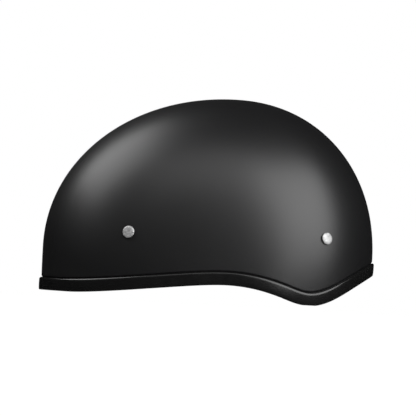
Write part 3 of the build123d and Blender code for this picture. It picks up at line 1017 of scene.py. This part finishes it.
def build_pads():
    """The brow, nape, side and crown pads."""
    dome = Dome()
    lining = bpy.context.scene.helmet_lining
    low_corner = 0.005
    end_width, end_height, side_height = 0.23, 0.065, 0.055
    rounds = 5
    inside = 0.02

    def height(x, up):
        low = dome.rim(x) + lining.pad_lift
        return low + (lining.pad_top - low) * up

    def end_place(way, end):
        def place(across, up, depth):
            across = rounded(across, up, end_width, end_height, low_corner, lining.corner)
            z = height(np.full_like(up, end), up)
            for _ in range(rounds):
                half = dome.side(end, z, depth)
                turn = (2 * across - 1) * np.arctan2(half, abs(end - dome.crown_x))
                origins = np.stack([np.full_like(z, dome.crown_x), np.zeros_like(z), z], -1)
                ways = np.stack([way * np.cos(turn), np.sin(turn), np.zeros_like(turn)], -1)
                spot = dome.cast(origins, ways, depth)
                z = height(spot[..., 0], up)
            return np.stack([spot[..., 0], spot[..., 1], z], -1)

        return place

    def side_place(side):
        first, last = lining.brow_end + lining.pad_gap, lining.nape_end - lining.pad_gap

        def place(across, up, depth):
            across = rounded(across, up, last - first, side_height, low_corner, lining.corner)
            x = first + (last - first) * across
            z = height(x, up)
            return np.stack([x, side * dome.side(x, z, depth), z], -1)

        return place

    def crown_place(across, up, depth):
        u, v = 2 * across - 1, 2 * up - 1
        x = dome.crown_x + lining.crown_length / 2 * u * np.sqrt(1 - v**2 / 2)
        y = lining.crown_width / 2 * v * np.sqrt(1 - u**2 / 2)
        origins = np.stack([x, y, np.full_like(x, inside)], -1)
        return dome.cast(origins, np.array([0.0, 0.0, 1.0]), depth)

    cloth_finish()
    binding_finish()
    upright = [((spot, 0.0), (spot, 1.0)) for spot in (0.2, 0.4, 0.6, 0.8)]
    build_pad("brow_comfort_pad", end_place(FRONT, lining.brow_end), 96, 27, upright, "brow_pad")
    build_pad("nape_comfort_pad", end_place(REAR, lining.nape_end), 84, 27, upright[1:3], "nape_pad")
    halves = [((0.5, 0.0), (0.5, 1.0))]
    for side, name in ((LEFT, "left"), (RIGHT, "right")):
        build_pad(f"{name}_temple_pad", side_place(side), 46, 25, halves, f"{name}_side_pad")
    star = [((0.0, 0.5), (1.0, 0.5)), ((0.3, 0.0), (0.3, 1.0)), ((0.7, 0.0), (0.7, 1.0))]
    build_pad("crown_comfort_pad", crown_place, 42, 34, star, "crown_pad")


def straps():
    """The strap sizes that are set."""
    return bpy.context.scene.helmet_straps


def strap_place(side, lean=True):
    """A function from a strap group's own frame to the helmet's: x along the hinge line,
    y inwards and z up the stowed legs."""
    form = straps()
    crown_x = Dome().crown_x
    turn = Matrix.Rotation(form.exit_yaw, 3, "Z")
    if lean:
        turn = turn @ Matrix.Rotation(-form.leg_lean, 3, "X")
    turn = np.array(turn)
    origin = np.array([crown_x, -form.exit_half_width, form.exit_height])

    def place(points):
        moved = np.asarray(points, float) @ turn.T + origin
        if side == RIGHT:
            moved = moved * (1, -1, 1)
        return moved

    return place


def webbing(name, grid, thickness, material, body, slot="webbing", closed=False, ends=(1, 1)):
    """A woven strip from the points of its middle surface; its edges and marked ends are thinner."""
    rows, columns = grid.shape[:2]
    if closed:
        along = np.roll(grid, -1, 0) - np.roll(grid, 1, 0)
    else:
        along = np.gradient(grid, axis=0)
    across = np.gradient(grid, axis=1)
    outward = unit(np.cross(along, across))
    half = thickness / 2 * np.array(WEB_THICKNESS_SHARES)[None, :, None]
    if not closed:
        cut_share = 0.6
        taper = np.ones((rows, 1, 1))
        taper[0], taper[-1] = cut_share if ends[0] else 1, cut_share if ends[1] else 1
        half = half * taper
    upper, lower = grid + outward * half, grid - outward * half
    loop = np.concatenate([upper, lower[:, ::-1]], axis=1)
    sides = loop.shape[1]
    faces = quads(rows, sides, wrap_rows=closed, wrap_columns=True)
    if not closed:
        faces.append(tuple(range(sides)))
        faces.append(tuple((rows - 1) * sides + column for column in range(sides))[::-1])
    made = piece(name, loop.reshape(-1, 3), faces, material, body, slot)
    turn_outwards(made)
    steps = np.linalg.norm(np.diff(grid[:, columns // 2], axis=0), axis=1)
    run = np.concatenate([[0], np.cumsum(steps)])[:, None] * np.ones((1, sides))
    wide = np.linalg.norm(grid[:, -1] - grid[:, 0], axis=1)[:, None] / 2
    shares = np.array(WEB_SHARES + WEB_SHARES[::-1])[None]
    weave = np.stack([run, wide * shares, np.zeros_like(run)], -1)
    attribute = made.data.attributes.new("weave_place", "FLOAT_VECTOR", "POINT")
    attribute.data.foreach_set("vector", weave.astype(np.float32).ravel())
    return made


def ribbon(path, half_widths):
    """The middle surface of a strip whose width lies along x, from a path of (y, z)."""
    path = np.asarray(path, float)
    half_widths = np.broadcast_to(half_widths, (len(path),))
    x = half_widths[:, None] * np.array(WEB_SHARES)[None]
    return np.stack([x, path[:, :1] + 0 * x, path[:, 1:] + 0 * x], -1)


def leg_shape():
    """A leg's half width along the hinge line, and where its middle ends along that line."""
    form = straps()
    top = form.leg_parting + form.web_width / 2
    half = form.web_width / 2 / math.cos(math.atan((form.exit_spread - top) / form.leg_end))
    return half, half + form.leg_parting


def arc(centre, radius, start, end, steps):
    """Points (y, z) on an arc, with its angles in degrees."""
    turns = np.radians(np.linspace(start, end, steps))
    return [(centre[0] + radius * math.cos(t), centre[1] + radius * math.sin(t)) for t in turns]


def line(start, end, step=0.0015):
    """Evenly spaced points on a line, without its last point."""
    start, end = np.array(start, float), np.array(end, float)
    count = max(2, int(np.linalg.norm(end - start) / step))
    return [tuple(start + (end - start) * i / count) for i in range(count)]


def curve(start, end, steps=9):
    """A soft S between two upright stretches, without its last point."""
    shares = np.arange(steps) / steps
    return [
        (start[0] + (end[0] - start[0]) * float(ease(s)), start[1] + (end[1] - start[1]) * s)
        for s in shares
    ]


def mirrored(path, middle):
    """A path's mirror image about one y, from its end back to its start."""
    return [(2 * middle - y, z) for y, z in path[::-1]]


def eye_radius(form):
    """The radius at which webbing's middle runs round a bar or a ring's wire."""
    return form.bar_radius + WEB_GAP + form.web_wall / 2


def build_legs():
    """Each leg's webbing in one length: under its rivet, through the foam's slot, up the leg."""
    dome = Dome()
    shell = dome.form
    form = straps()
    half, top = leg_shape()
    material = woven_finish("black_webbing", finishes().webbing, 0.0016)
    shares = np.array(WEB_SHARES)
    past_rivet = 0.010
    depth = shell.wall + WEB_GAP + form.web_wall / 2
    reach = LEG_BEND * math.tan((math.pi / 2 - form.leg_lean) / 2)
    for side, side_name in ((LEFT, "left"), (RIGHT, "right")):
        for end, end_name in ((FRONT, "front"), (REAR, "rear")):
            rivet = np.array(dome.rivet_spot(end))
            foot = np.array([dome.crown_x + end * form.exit_spread, form.exit_height + WALL_BEND])
            way = unit(rivet - foot)
            cross = np.array([way[1], -way[0]]) * form.web_width / 2
            tip = rivet + way * past_rivet
            rows = []
            for share_down in np.linspace(0, 1, 18):
                middle = tip + (foot - tip) * share_down
                spread = cross + (np.array([half, 0]) - cross) * share_down
                x = middle[0] + spread[0] * shares
                z = middle[1] + spread[1] * shares
                rows.append(np.stack([x, side * dome.side(x, z, depth), z], -1))
            wall_row = rows[-1]
            for turn in np.radians([22, 45, 68, 90]):
                row = wall_row.copy()
                row[:, 1] -= side * WALL_BEND * (1 - math.cos(turn))
                row[:, 2] -= WALL_BEND * math.sin(turn)
                rows.append(row)
            flat_place = strap_place(side, lean=False)
            lean_place = strap_place(side)
            x = end * form.exit_spread + half * shares
            bend = []
            for turn in np.linspace(0, math.pi / 2 - form.leg_lean, 9):
                y = -reach + LEG_BEND * math.sin(turn)
                z = LEG_BEND * (1 - math.cos(turn))
                bend.append(flat_place(np.stack([x, 0 * x + y, 0 * x + z], -1)))
            last = rows[-1]
            for share_in in np.linspace(0, 1, 14)[1:-1]:
                rows.append(last + (bend[0] - last) * share_in)
            rows += bend
            for z in np.linspace(reach, form.leg_end, 40)[1:]:
                middle = form.exit_spread + (top - form.exit_spread) * z / form.leg_end
                x = end * middle + half * shares
                rows.append(lean_place(np.stack([x, 0 * x, 0 * x + z], -1)))
            name = f"{side_name}_{end_name}_webbing"
            made = webbing(name, np.array(rows), form.web_wall, material, None)
            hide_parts(f"{side_name}_{end_name}_anchor_web", f"{side_name}_{end_name}_leg")
            start = flat_place([0, -reach, 0])
            stop = flat_place([0, 0, reach * BEND_SLOPE])
            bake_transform(made)


def build_left_strap():
    """The short strap: doubled webbing with an eye on the bar and one for the two rings."""
    form = straps()
    place = strap_place(LEFT)
    y, bar, ring = form.bar_offset, form.bar_height, form.ring_height
    ply_gap = 0.00004
    ply = form.web_wall / 2 + ply_gap
    eye = eye_radius(form)
    wide = form.ring_step + eye
    sewn_top, sewn_foot = bar - 0.011, ring + 0.013
    path = line((y - ply, sewn_foot), (y - ply, sewn_top))
    opening = curve((y - ply, sewn_top), (y - eye, bar))
    path += opening
    path += arc((y, bar), eye, 180, 0, 21)[:-1]
    path += mirrored(opening + [(y - eye, bar)], y)[:-1]
    path += line((y + ply, sewn_top), (y + ply, sewn_foot))
    flare = curve((y + ply, sewn_foot), (y + wide, ring), 12)
    path += flare
    path += arc((y + form.ring_step, ring), eye, 0, -90, 9)
    path += line((y + form.ring_step, ring - eye), (y - form.ring_step, ring - eye), 0.001)[1:]
    path += arc((y - form.ring_step, ring), eye, -90, -180, 9)
    path += mirrored(flare[1:], y)
    grid = place(ribbon(path, form.web_width / 2))
    material = bpy.data.materials["black_webbing"]
    thickness = form.web_wall * SEWN_SHARE
    made = webbing("left_strap_webbing", grid, thickness, material, "left_strap", closed=True)
    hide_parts("left_chin_strap")


def build_right_strap():
    """The long strap in three folded runs, with a sewn eye on the bar and a rounded tip."""
    form = straps()
    place = strap_place(RIGHT)
    material = bpy.data.materials["black_webbing"]
    y, bar = form.bar_offset, form.bar_height
    eye = eye_radius(form)
    half = form.web_width / 2
    thickness = form.web_wall * SEWN_SHARE
    ply_gap = 0.00005
    ply = form.web_wall + ply_gap
    middle = (form.first_run_end + form.middle_run_top) / 2
    step = form.run_step
    fold = step / 2
    inner = form.web_wall / 2

    sewn, cut_end = bar - 0.012, bar - 0.023
    path = line((y - ply, cut_end), (y - ply, sewn))
    path += curve((y - ply, sewn), (y - eye, bar))
    path += arc((y, bar), eye, 180, 0, 21)
    path += curve((y, sewn), (y + eye, bar))[:0:-1]
    path += line((y, sewn), (y, middle)) + [(y, middle)]
    grid = place(ribbon(path, half))
    first = webbing("right_strap_eye", grid, thickness, material, "right_strap", ends=(1, 0))
    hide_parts("right_chin_strap")

    low, high = form.first_run_end, form.middle_run_top
    path = line((y, middle), (y, low))
    path += arc((y + fold, low), fold, 180, 360, 13)
    path += line((y + step, low), (y + step, middle))[1:] + [(y + step, middle)]
    grid = place(ribbon(path, half))
    second = webbing("right_strap_first_fold", grid, thickness, material, None, ends=(0, 0))
    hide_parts("right_strap_middle_run")
    tuple(place([0, y + inner, low]))
    tuple(place([0, y + step - inner, low]))
    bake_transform(second)

    path = line((y + step, middle), (y + step, high))
    path += arc((y + step + fold, high), fold, 180, 0, 13)
    tip = line((y + 2 * step, high), (y + 2 * step, form.tip_end), 0.001)[1:]
    path += tip + [(y + 2 * step, form.tip_end)]
    widths = []
    corner = half / 2
    last_run = y + 1.9 * step
    for out, height in path:
        near = max(0.0, corner - (height - form.tip_end)) if out > last_run else 0.0
        widths.append(half - corner + math.sqrt(corner**2 - near**2))
    grid = place(ribbon(path, np.array(widths)))
    third = webbing("right_strap_second_fold", grid, thickness, material, None, ends=(0, 1))
    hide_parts("right_strap_tip_run")
    tuple(place([0, y + step + inner, high]))
    tuple(place([0, y + 2 * step - inner, high]))
    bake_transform(third)


def build_tab():
    """The release tab: a ribbon folded round the bow of the inner ring."""
    form = straps()
    place = strap_place(LEFT)
    y, bow = form.bar_offset + form.ring_step, form.ring_bow
    wall, ply, bow_gap = 0.0011, 0.00062, 0.0002
    neck, step = 0.0030, 0.0008
    eye = form.bar_radius + bow_gap + ply
    rise = curve((y - ply, neck), (y - eye, bow)) + [(y - eye, bow)]
    path = line((y - ply, form.tab_end), (y - ply, neck), step)
    path += rise[:-1]
    path += arc((y, bow), eye, 180, 0, 17)[:-1]
    path += mirrored(rise, y)
    path += line((y + ply, neck), (y + ply, form.tab_end), step)[1:] + [(y + ply, form.tab_end)]
    material = woven_finish("release_ribbon", finishes().ribbon, 0.0009)
    grid = place(ribbon(path, form.tab_width / 2))
    made = webbing("release_ribbon_tab", grid, wall, material, "inner_ring", slot="tab_ribbon")
    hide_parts("release_tab")


def squircle(turn, power=5):
    """A point of a square with rounded corners, by its angle."""
    across, out = math.cos(turn), math.sin(turn)
    scale = (abs(across) ** power + abs(out) ** power) ** (-1 / power)
    return across * scale, out * scale


def build_chin_pad():
    """The soft sleeve on the left strap: crowned towards the chin, drawn in at its ends."""
    form = straps()
    place = strap_place(LEFT)
    y = form.bar_offset
    low, high = form.ring_height + 0.006, form.ring_height + 0.032
    half_x = 0.015
    back_wall, front_wall = 0.0012, 0.0050
    bore_x, bore_y = form.web_width / 2 + WEB_GAP, form.web_wall + WEB_GAP
    rim_stretch, bore_stretch = 1.02, 1.01
    crown_power = 3.2
    crease_width, crease_depth = 0.045, 0.35
    flank_share = 0.86
    turns = around(72)
    rows = 23
    points = []
    sweep = np.linspace(0, 1, rows)
    for s in sweep:
        z = low + (high - low) * s
        crown = math.sqrt(max(0.0, 1 - abs(2 * s - 1) ** crown_power))
        crease = crease_depth * math.exp(-(((s - 0.5) / crease_width) ** 2))
        for turn in turns:
            c, d = squircle(turn)
            reach_y = bore_y + (front_wall if d > 0 else back_wall)
            full = np.array([half_x * c, reach_y * d])
            rim = np.array([bore_x * c, bore_y * d]) * rim_stretch
            belly = flank_share + (1 - flank_share) * math.sin(math.pi * min(1, abs(d)))
            spot = rim + (full - rim) * crown * (1 - crease * (d > 0.1)) * belly
            points.append((spot[0], y + spot[1], z))
    for s in sweep[::-1][1:-1]:
        z = low + (high - low) * s
        for turn in turns:
            c, d = squircle(turn)
            points.append((bore_x * c * bore_stretch, y + bore_y * d * bore_stretch, z))
    count = rows + rows - 2
    faces = quads(count, len(turns), wrap_rows=True, wrap_columns=True)
    cloth = bpy.data.materials["pad_cloth"]
    made = piece("chin_cushion", place(points), faces, cloth, "sliding_pad", "pad_fabric")
    turn_outwards(made)
    soften(made)
    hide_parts("chin_pad")
    tape_radius, inset = 8 * FINE, 6 * FINE
    tape_x, tape_y = bore_x + 9 * FINE, bore_y + 7 * FINE
    points, faces = [], []
    for z in (low + inset, high - inset):
        ring = [(tape_x * c, y + tape_y * d, z) for c, d in map(squircle, turns)]
        spots, rims = tube(place(ring), tape_radius, 8)
        faces += [tuple(len(points) + corner for corner in face) for face in rims]
        points += list(spots)
    tape = bpy.data.materials["binding_tape"]
    piece("chin_cushion_binding", points, faces, tape, "sliding_pad", "pad_fabric")


def build_hardware():
    """The dividers and rings keep their own shapes and get their finishes."""
    plastic = plastic_finish()
    wire = wire_finish()
    for name in ("left_divider", "right_divider"):
        give_finish(name, plastic)
    for name in ("inner_d_ring", "outer_d_ring"):
        give_finish(name, wire)


def stitch_mesh(points, faces, start, end, normal, radius):
    """Adds one stitch: a short thread that dips into the cloth at both ends."""
    sides = 6
    way = end - start
    side = unit(np.cross(way, normal))
    base = len(points)
    for share_along, lift, size in STITCH_SHARES:
        middle = start + way * share_along + normal * radius * lift
        for turn in around(sides):
            spoke = side * math.cos(turn) + normal * math.sin(turn)
            points.append(middle + spoke * radius * size)
    faces += quads(len(STITCH_SHARES), sides, start=base, wrap_columns=True, flip=True)
    faces.append(tuple(base + corner for corner in range(sides)))
    last = base + sides * (len(STITCH_SHARES) - 1)
    faces.append(tuple(last + corner for corner in range(sides))[::-1])


def sew(name, body, place, y, facing, lines):
    """Stitches along lines given as (x, z) in a strap's own frame, on the face at y."""
    form = straps()
    pitch = form.stitch * 1.3
    gap_share = 0.12
    normal = unit(place([0, y + facing * 0.01, 0]) - place([0, y, 0]))
    points, faces = [], []
    for start, end in lines:
        start, end = np.array(start, float), np.array(end, float)
        far = np.linalg.norm(end - start)
        count = max(1, round(far / pitch))
        for index in range(count):
            ends = []
            for within in (gap_share, 1 - gap_share):
                spot = start + (end - start) * (index + within) / count
                ends.append(place([spot[0], y, spot[1]]))
            stitch_mesh(points, faces, ends[0], ends[1], normal, form.thread)
    made = piece(name, points, faces, bpy.data.materials["sewing_thread"], body, "webbing")
    turn_outwards(made)


def box_stitch(centre, wide, tall):
    """The lines of a sewn box with a cross in it."""
    x0, x1 = centre[0] - wide / 2, centre[0] + wide / 2
    z0, z1 = centre[1] - tall / 2, centre[1] + tall / 2
    corners = [(x0, z0), (x1, z0), (x1, z1), (x0, z1)]
    lines = list(zip(corners, corners[1:] + corners[:1]))
    return lines + [((x0, z0), (x1, z1)), ((x0, z1), (x1, z0))]


def build_stitching():
    """Sewn boxes on the legs and the right strap's eye, bar tacks on the left strap and the tab."""
    thread_finish()
    form = straps()
    top = leg_shape()[1]
    proud_share = 0.94
    face = form.web_wall / 2 * proud_share
    leg_box_wide, leg_box_tall, z = form.web_width * 0.72, 0.011, 0.0425
    slope = (top - form.exit_spread) / form.leg_end
    middle = form.exit_spread + slope * z
    for side, name in ((LEFT, "left"), (RIGHT, "right")):
        place = strap_place(side)
        for facing, face_name in ((1, "inner"), (-1, "outer")):
            lines = []
            for end in (FRONT, REAR):
                for ends in box_stitch((0, z), leg_box_wide, leg_box_tall):
                    lean = [(end * (middle + slope * (height - z)) + x, height) for x, height in ends]
                    lines.append(tuple(lean))
            whole_name = f"{name}_leg_stitches_{face_name}"
            sew(whole_name, f"{name}_yoke", place, facing * face, facing, lines)
    y, bar = form.bar_offset, form.bar_height
    wide = form.web_width * 0.74
    place = strap_place(RIGHT)
    eye_box_middle, eye_box_tall = bar - 0.0175, 0.009
    box = box_stitch((0, eye_box_middle), wide, eye_box_tall)
    sew("right_eye_stitches_inner", "right_strap", place, y + face, 1, box)
    sew("right_eye_stitches_outer", "right_strap", place, y - form.web_wall - face, -1, box)
    place = strap_place(LEFT)
    heights = (bar - 0.0118, bar - 0.0130, form.ring_height + 0.0140)
    tacks = [((-wide / 2, height), (wide / 2, height)) for height in heights]
    sew("left_strap_stitches_inner", "left_strap", place, y + 2 * face, 1, tacks)
    sew("left_strap_stitches_outer", "left_strap", place, y - 2 * face, -1, tacks)
    tab = form.tab_width * 0.4
    rows = [((-tab, height), (tab, height)) for height in (0.0012, 0.0024)]
    tab_face = y + form.ring_step + 0.0012
    sew("release_tab_stitches", "inner_ring", place, tab_face, 1, rows)


def add_light(name, azimuth, elevation, away, wide, tall, watts):
    """A soft rectangular lamp that points at the helmet; azimuth 0 is off its left side."""
    target = Vector((0, 0, 0.07))
    flat = math.cos(math.radians(elevation))
    turn = math.radians(azimuth)
    way = Vector((flat * math.sin(turn), -flat * math.cos(turn), math.sin(math.radians(elevation))))
    lamp = bpy.data.lights.new(name, "AREA")
    lamp.shape = "RECTANGLE"
    lamp.size = wide
    lamp.size_y = tall
    lamp.energy = watts
    made = bpy.data.objects.new(name, lamp)
    bpy.context.scene.collection.objects.link(made)
    made.location = target + way * away
    made.rotation_euler = (-way).to_track_quat("-Z", "Y").to_euler()


def build_curtain():
    """A dark curtain, carpet and ceiling round the set, which only reflections show."""
    shade = Shade("curtain_cloth")
    folds = shade.noise(4.0, 3.0)
    cloth = shade.surface(
        base_color=shade.blend(folds, (0.004, 0.004, 0.004), (0.008, 0.008, 0.008)),
        roughness=0.9,
        specular_ior_level=0.1,
    )
    radius, top, sides = 3.0, 3.2, 48
    low = FLOOR_LEVEL + 6 * FINE
    points, faces = [], []
    for turn in around(sides):
        x, y = radius * math.cos(turn), radius * math.sin(turn)
        points += [(x, y, low), (x, y, top)]
    for step in range(sides):
        here, there = 2 * step, 2 * ((step + 1) % sides)
        faces.append((here, there, there + 1, here + 1))
    faces.append(tuple(2 * step + 1 for step in range(sides)))
    faces.append(tuple(2 * step for step in range(sides))[::-1])
    mesh = bpy.data.meshes.new("curtain")
    mesh.from_pydata(points, [], faces)
    mesh.materials.append(cloth)
    curtain = bpy.data.objects.new("curtain", mesh)
    bpy.context.scene.collection.objects.link(curtain)
    curtain.visible_camera = False
    curtain.visible_diffuse = False
    curtain.visible_shadow = False
    curtain.visible_transmission = False


def build_world():
    """White to the camera and to reflections, and a low even light on everything else."""
    shade = Shade("studio", "worlds")
    bpy.context.scene.world = shade.owner
    even = shade.node("ShaderNodeBackground", None, {"Color": WHITE, "Strength": 0.55})
    shown = shade.node("ShaderNodeBackground", None, {"Color": WHITE, "Strength": 1.0})
    sides = {0: shade.shown_ray(), 1: even.outputs[0], 2: shown.outputs[0]}
    mixed = shade.node("ShaderNodeMixShader", None, sides)
    shade.node("ShaderNodeOutputWorld", None, {"Surface": mixed.outputs[0]})


def build_stage():
    """The pale floor, the soft lamps and the level, distant camera."""
    scene = bpy.context.scene
    scene.view_settings.view_transform = "Standard"
    size = 30.0
    mesh = bpy.data.meshes.new("floor")
    corners = [(-size, -size), (size, -size), (size, size), (-size, size)]
    corners = [(x, y, FLOOR_LEVEL) for x, y in corners]
    mesh.from_pydata(corners, [], [(0, 1, 2, 3)])
    mesh.materials.append(floor_finish())
    floor = bpy.data.objects.new("floor", mesh)
    scene.collection.objects.link(floor)
    build_world()
    build_curtain()
    add_light("front_softbox", -98, 47, 1.6, 1.35, 1.0, 28)
    add_light("rear_softbox", 49, 30, 1.6, 1.55, 1.35, 57)
    add_light("top_softbox", -6, 50, 1.6, 1.3, 0.7, 9)

    picture = 416
    metres_a_pixel = 0.0008
    roll = math.radians(3.277)
    contact_x, contact_y = 60.0, 290.32
    contact_along = -0.116872
    dx = picture / 2 - contact_x
    dz = contact_y - picture / 2
    along = metres_a_pixel * (math.cos(roll) * dx - math.sin(roll) * dz) + contact_along
    up = metres_a_pixel * (math.sin(roll) * dx + math.cos(roll) * dz)
    camera_data = bpy.data.cameras.new("camera")
    camera_data.sensor_width = 36.0
    camera_data.lens = 1000.0
    away = metres_a_pixel * picture * camera_data.lens / camera_data.sensor_width
    camera_data.clip_start = 0.1
    camera_data.clip_end = 100.0
    camera = bpy.data.objects.new("camera", camera_data)
    scene.collection.objects.link(camera)
    camera.location = (along, -away, up)
    level = Matrix.Rotation(math.pi / 2, 3, "X")
    camera.rotation_euler = (level @ Matrix.Rotation(roll, 3, "Z")).to_euler()
    scene.camera = camera


class HelmetOperator:
    """What the operators share"""

    bl_options = {"REGISTER", "UNDO"}
    steps = ()

    def execute(self, context):
        for step in self.steps:
            step()
        return {"FINISHED"}


class HELMET_OT_shell(HelmetOperator, bpy.types.Operator):
    """Builds the moulded shell"""

    bl_idname = "helmet.shell"
    bl_label = "Shell"
    steps = (build_shell,)


class HELMET_OT_trim(HelmetOperator, bpy.types.Operator):
    """Builds the rubber trim on the rim"""

    bl_idname = "helmet.trim"
    bl_label = "Edge Trim"
    steps = (build_trim,)


class HELMET_OT_rivets(HelmetOperator, bpy.types.Operator):
    """Builds the strap rivets and finishes their washers"""

    bl_idname = "helmet.rivets"
    bl_label = "Rivets"
    steps = (build_rivets,)


class HELMET_OT_lining(HelmetOperator, bpy.types.Operator):
    """Finishes the foam and builds the comfort pads"""

    bl_idname = "helmet.lining"
    bl_label = "Foam and Pads"
    steps = (build_foam, build_pads)


class HELMET_OT_webbing(HelmetOperator, bpy.types.Operator):
    """Builds the legs and both chin straps"""

    bl_idname = "helmet.webbing"
    bl_label = "Webbing"
    steps = (build_legs, build_left_strap, build_right_strap)


class HELMET_OT_buckle(HelmetOperator, bpy.types.Operator):
    """Finishes the dividers and rings, and builds the release tab and chin pad"""

    bl_idname = "helmet.buckle"
    bl_label = "Buckle and Chin Pad"
    steps = (build_hardware, build_tab, build_chin_pad)


class HELMET_OT_stitching(HelmetOperator, bpy.types.Operator):
    """Sews the webbing"""

    bl_idname = "helmet.stitching"
    bl_label = "Stitching"
    steps = (build_stitching,)


class HELMET_OT_stage(HelmetOperator, bpy.types.Operator):
    """Sets up the floor, the lamps and the camera"""

    bl_idname = "helmet.stage"
    bl_label = "Stage"
    steps = (build_stage,)


OPERATORS = (
    HELMET_OT_shell,
    HELMET_OT_trim,
    HELMET_OT_rivets,
    HELMET_OT_lining,
    HELMET_OT_webbing,
    HELMET_OT_buckle,
    HELMET_OT_stitching,
    HELMET_OT_stage,
)


class HELMET_PT_panel(bpy.types.Panel):
    """Lists the helmet's pieces and sizes"""

    bl_label = "Helmet"
    bl_idname = "HELMET_PT_panel"
    bl_space_type = "VIEW_3D"
    bl_region_type = "UI"
    bl_category = "Helmet"

    def draw(self, context):
        layout = self.layout
        for operator in OPERATORS:
            layout.operator(operator.bl_idname)
        for name, group in SETTINGS.items():
            box = layout.box()
            settings = getattr(context.scene, name)
            for key in group.__annotations__:
                box.prop(settings, key)


SETTINGS = {
    "helmet_shell": HelmetShellSettings,
    "helmet_lining": HelmetLiningSettings,
    "helmet_straps": HelmetStrapSettings,
    "helmet_finish": HelmetFinishSettings,
}
CLASSES = (*SETTINGS.values(), *OPERATORS, HELMET_PT_panel)


def register():
    """Registers the classes and their settings."""
    for item in CLASSES:
        bpy.utils.register_class(item)
    for name, group in SETTINGS.items():
        setattr(bpy.types.Scene, name, PointerProperty(type=group))


def unregister():
    """Takes the settings and the classes away again."""
    for name in SETTINGS:
        delattr(bpy.types.Scene, name)
    for item in reversed(CLASSES):
        bpy.utils.unregister_class(item)


def main():
    """Builds everything in order."""
    register()
    for operator in OPERATORS:
        group, name = operator.bl_idname.split(".")
        getattr(getattr(bpy.ops, group), name)()


if __name__ == "__main__":
    main()
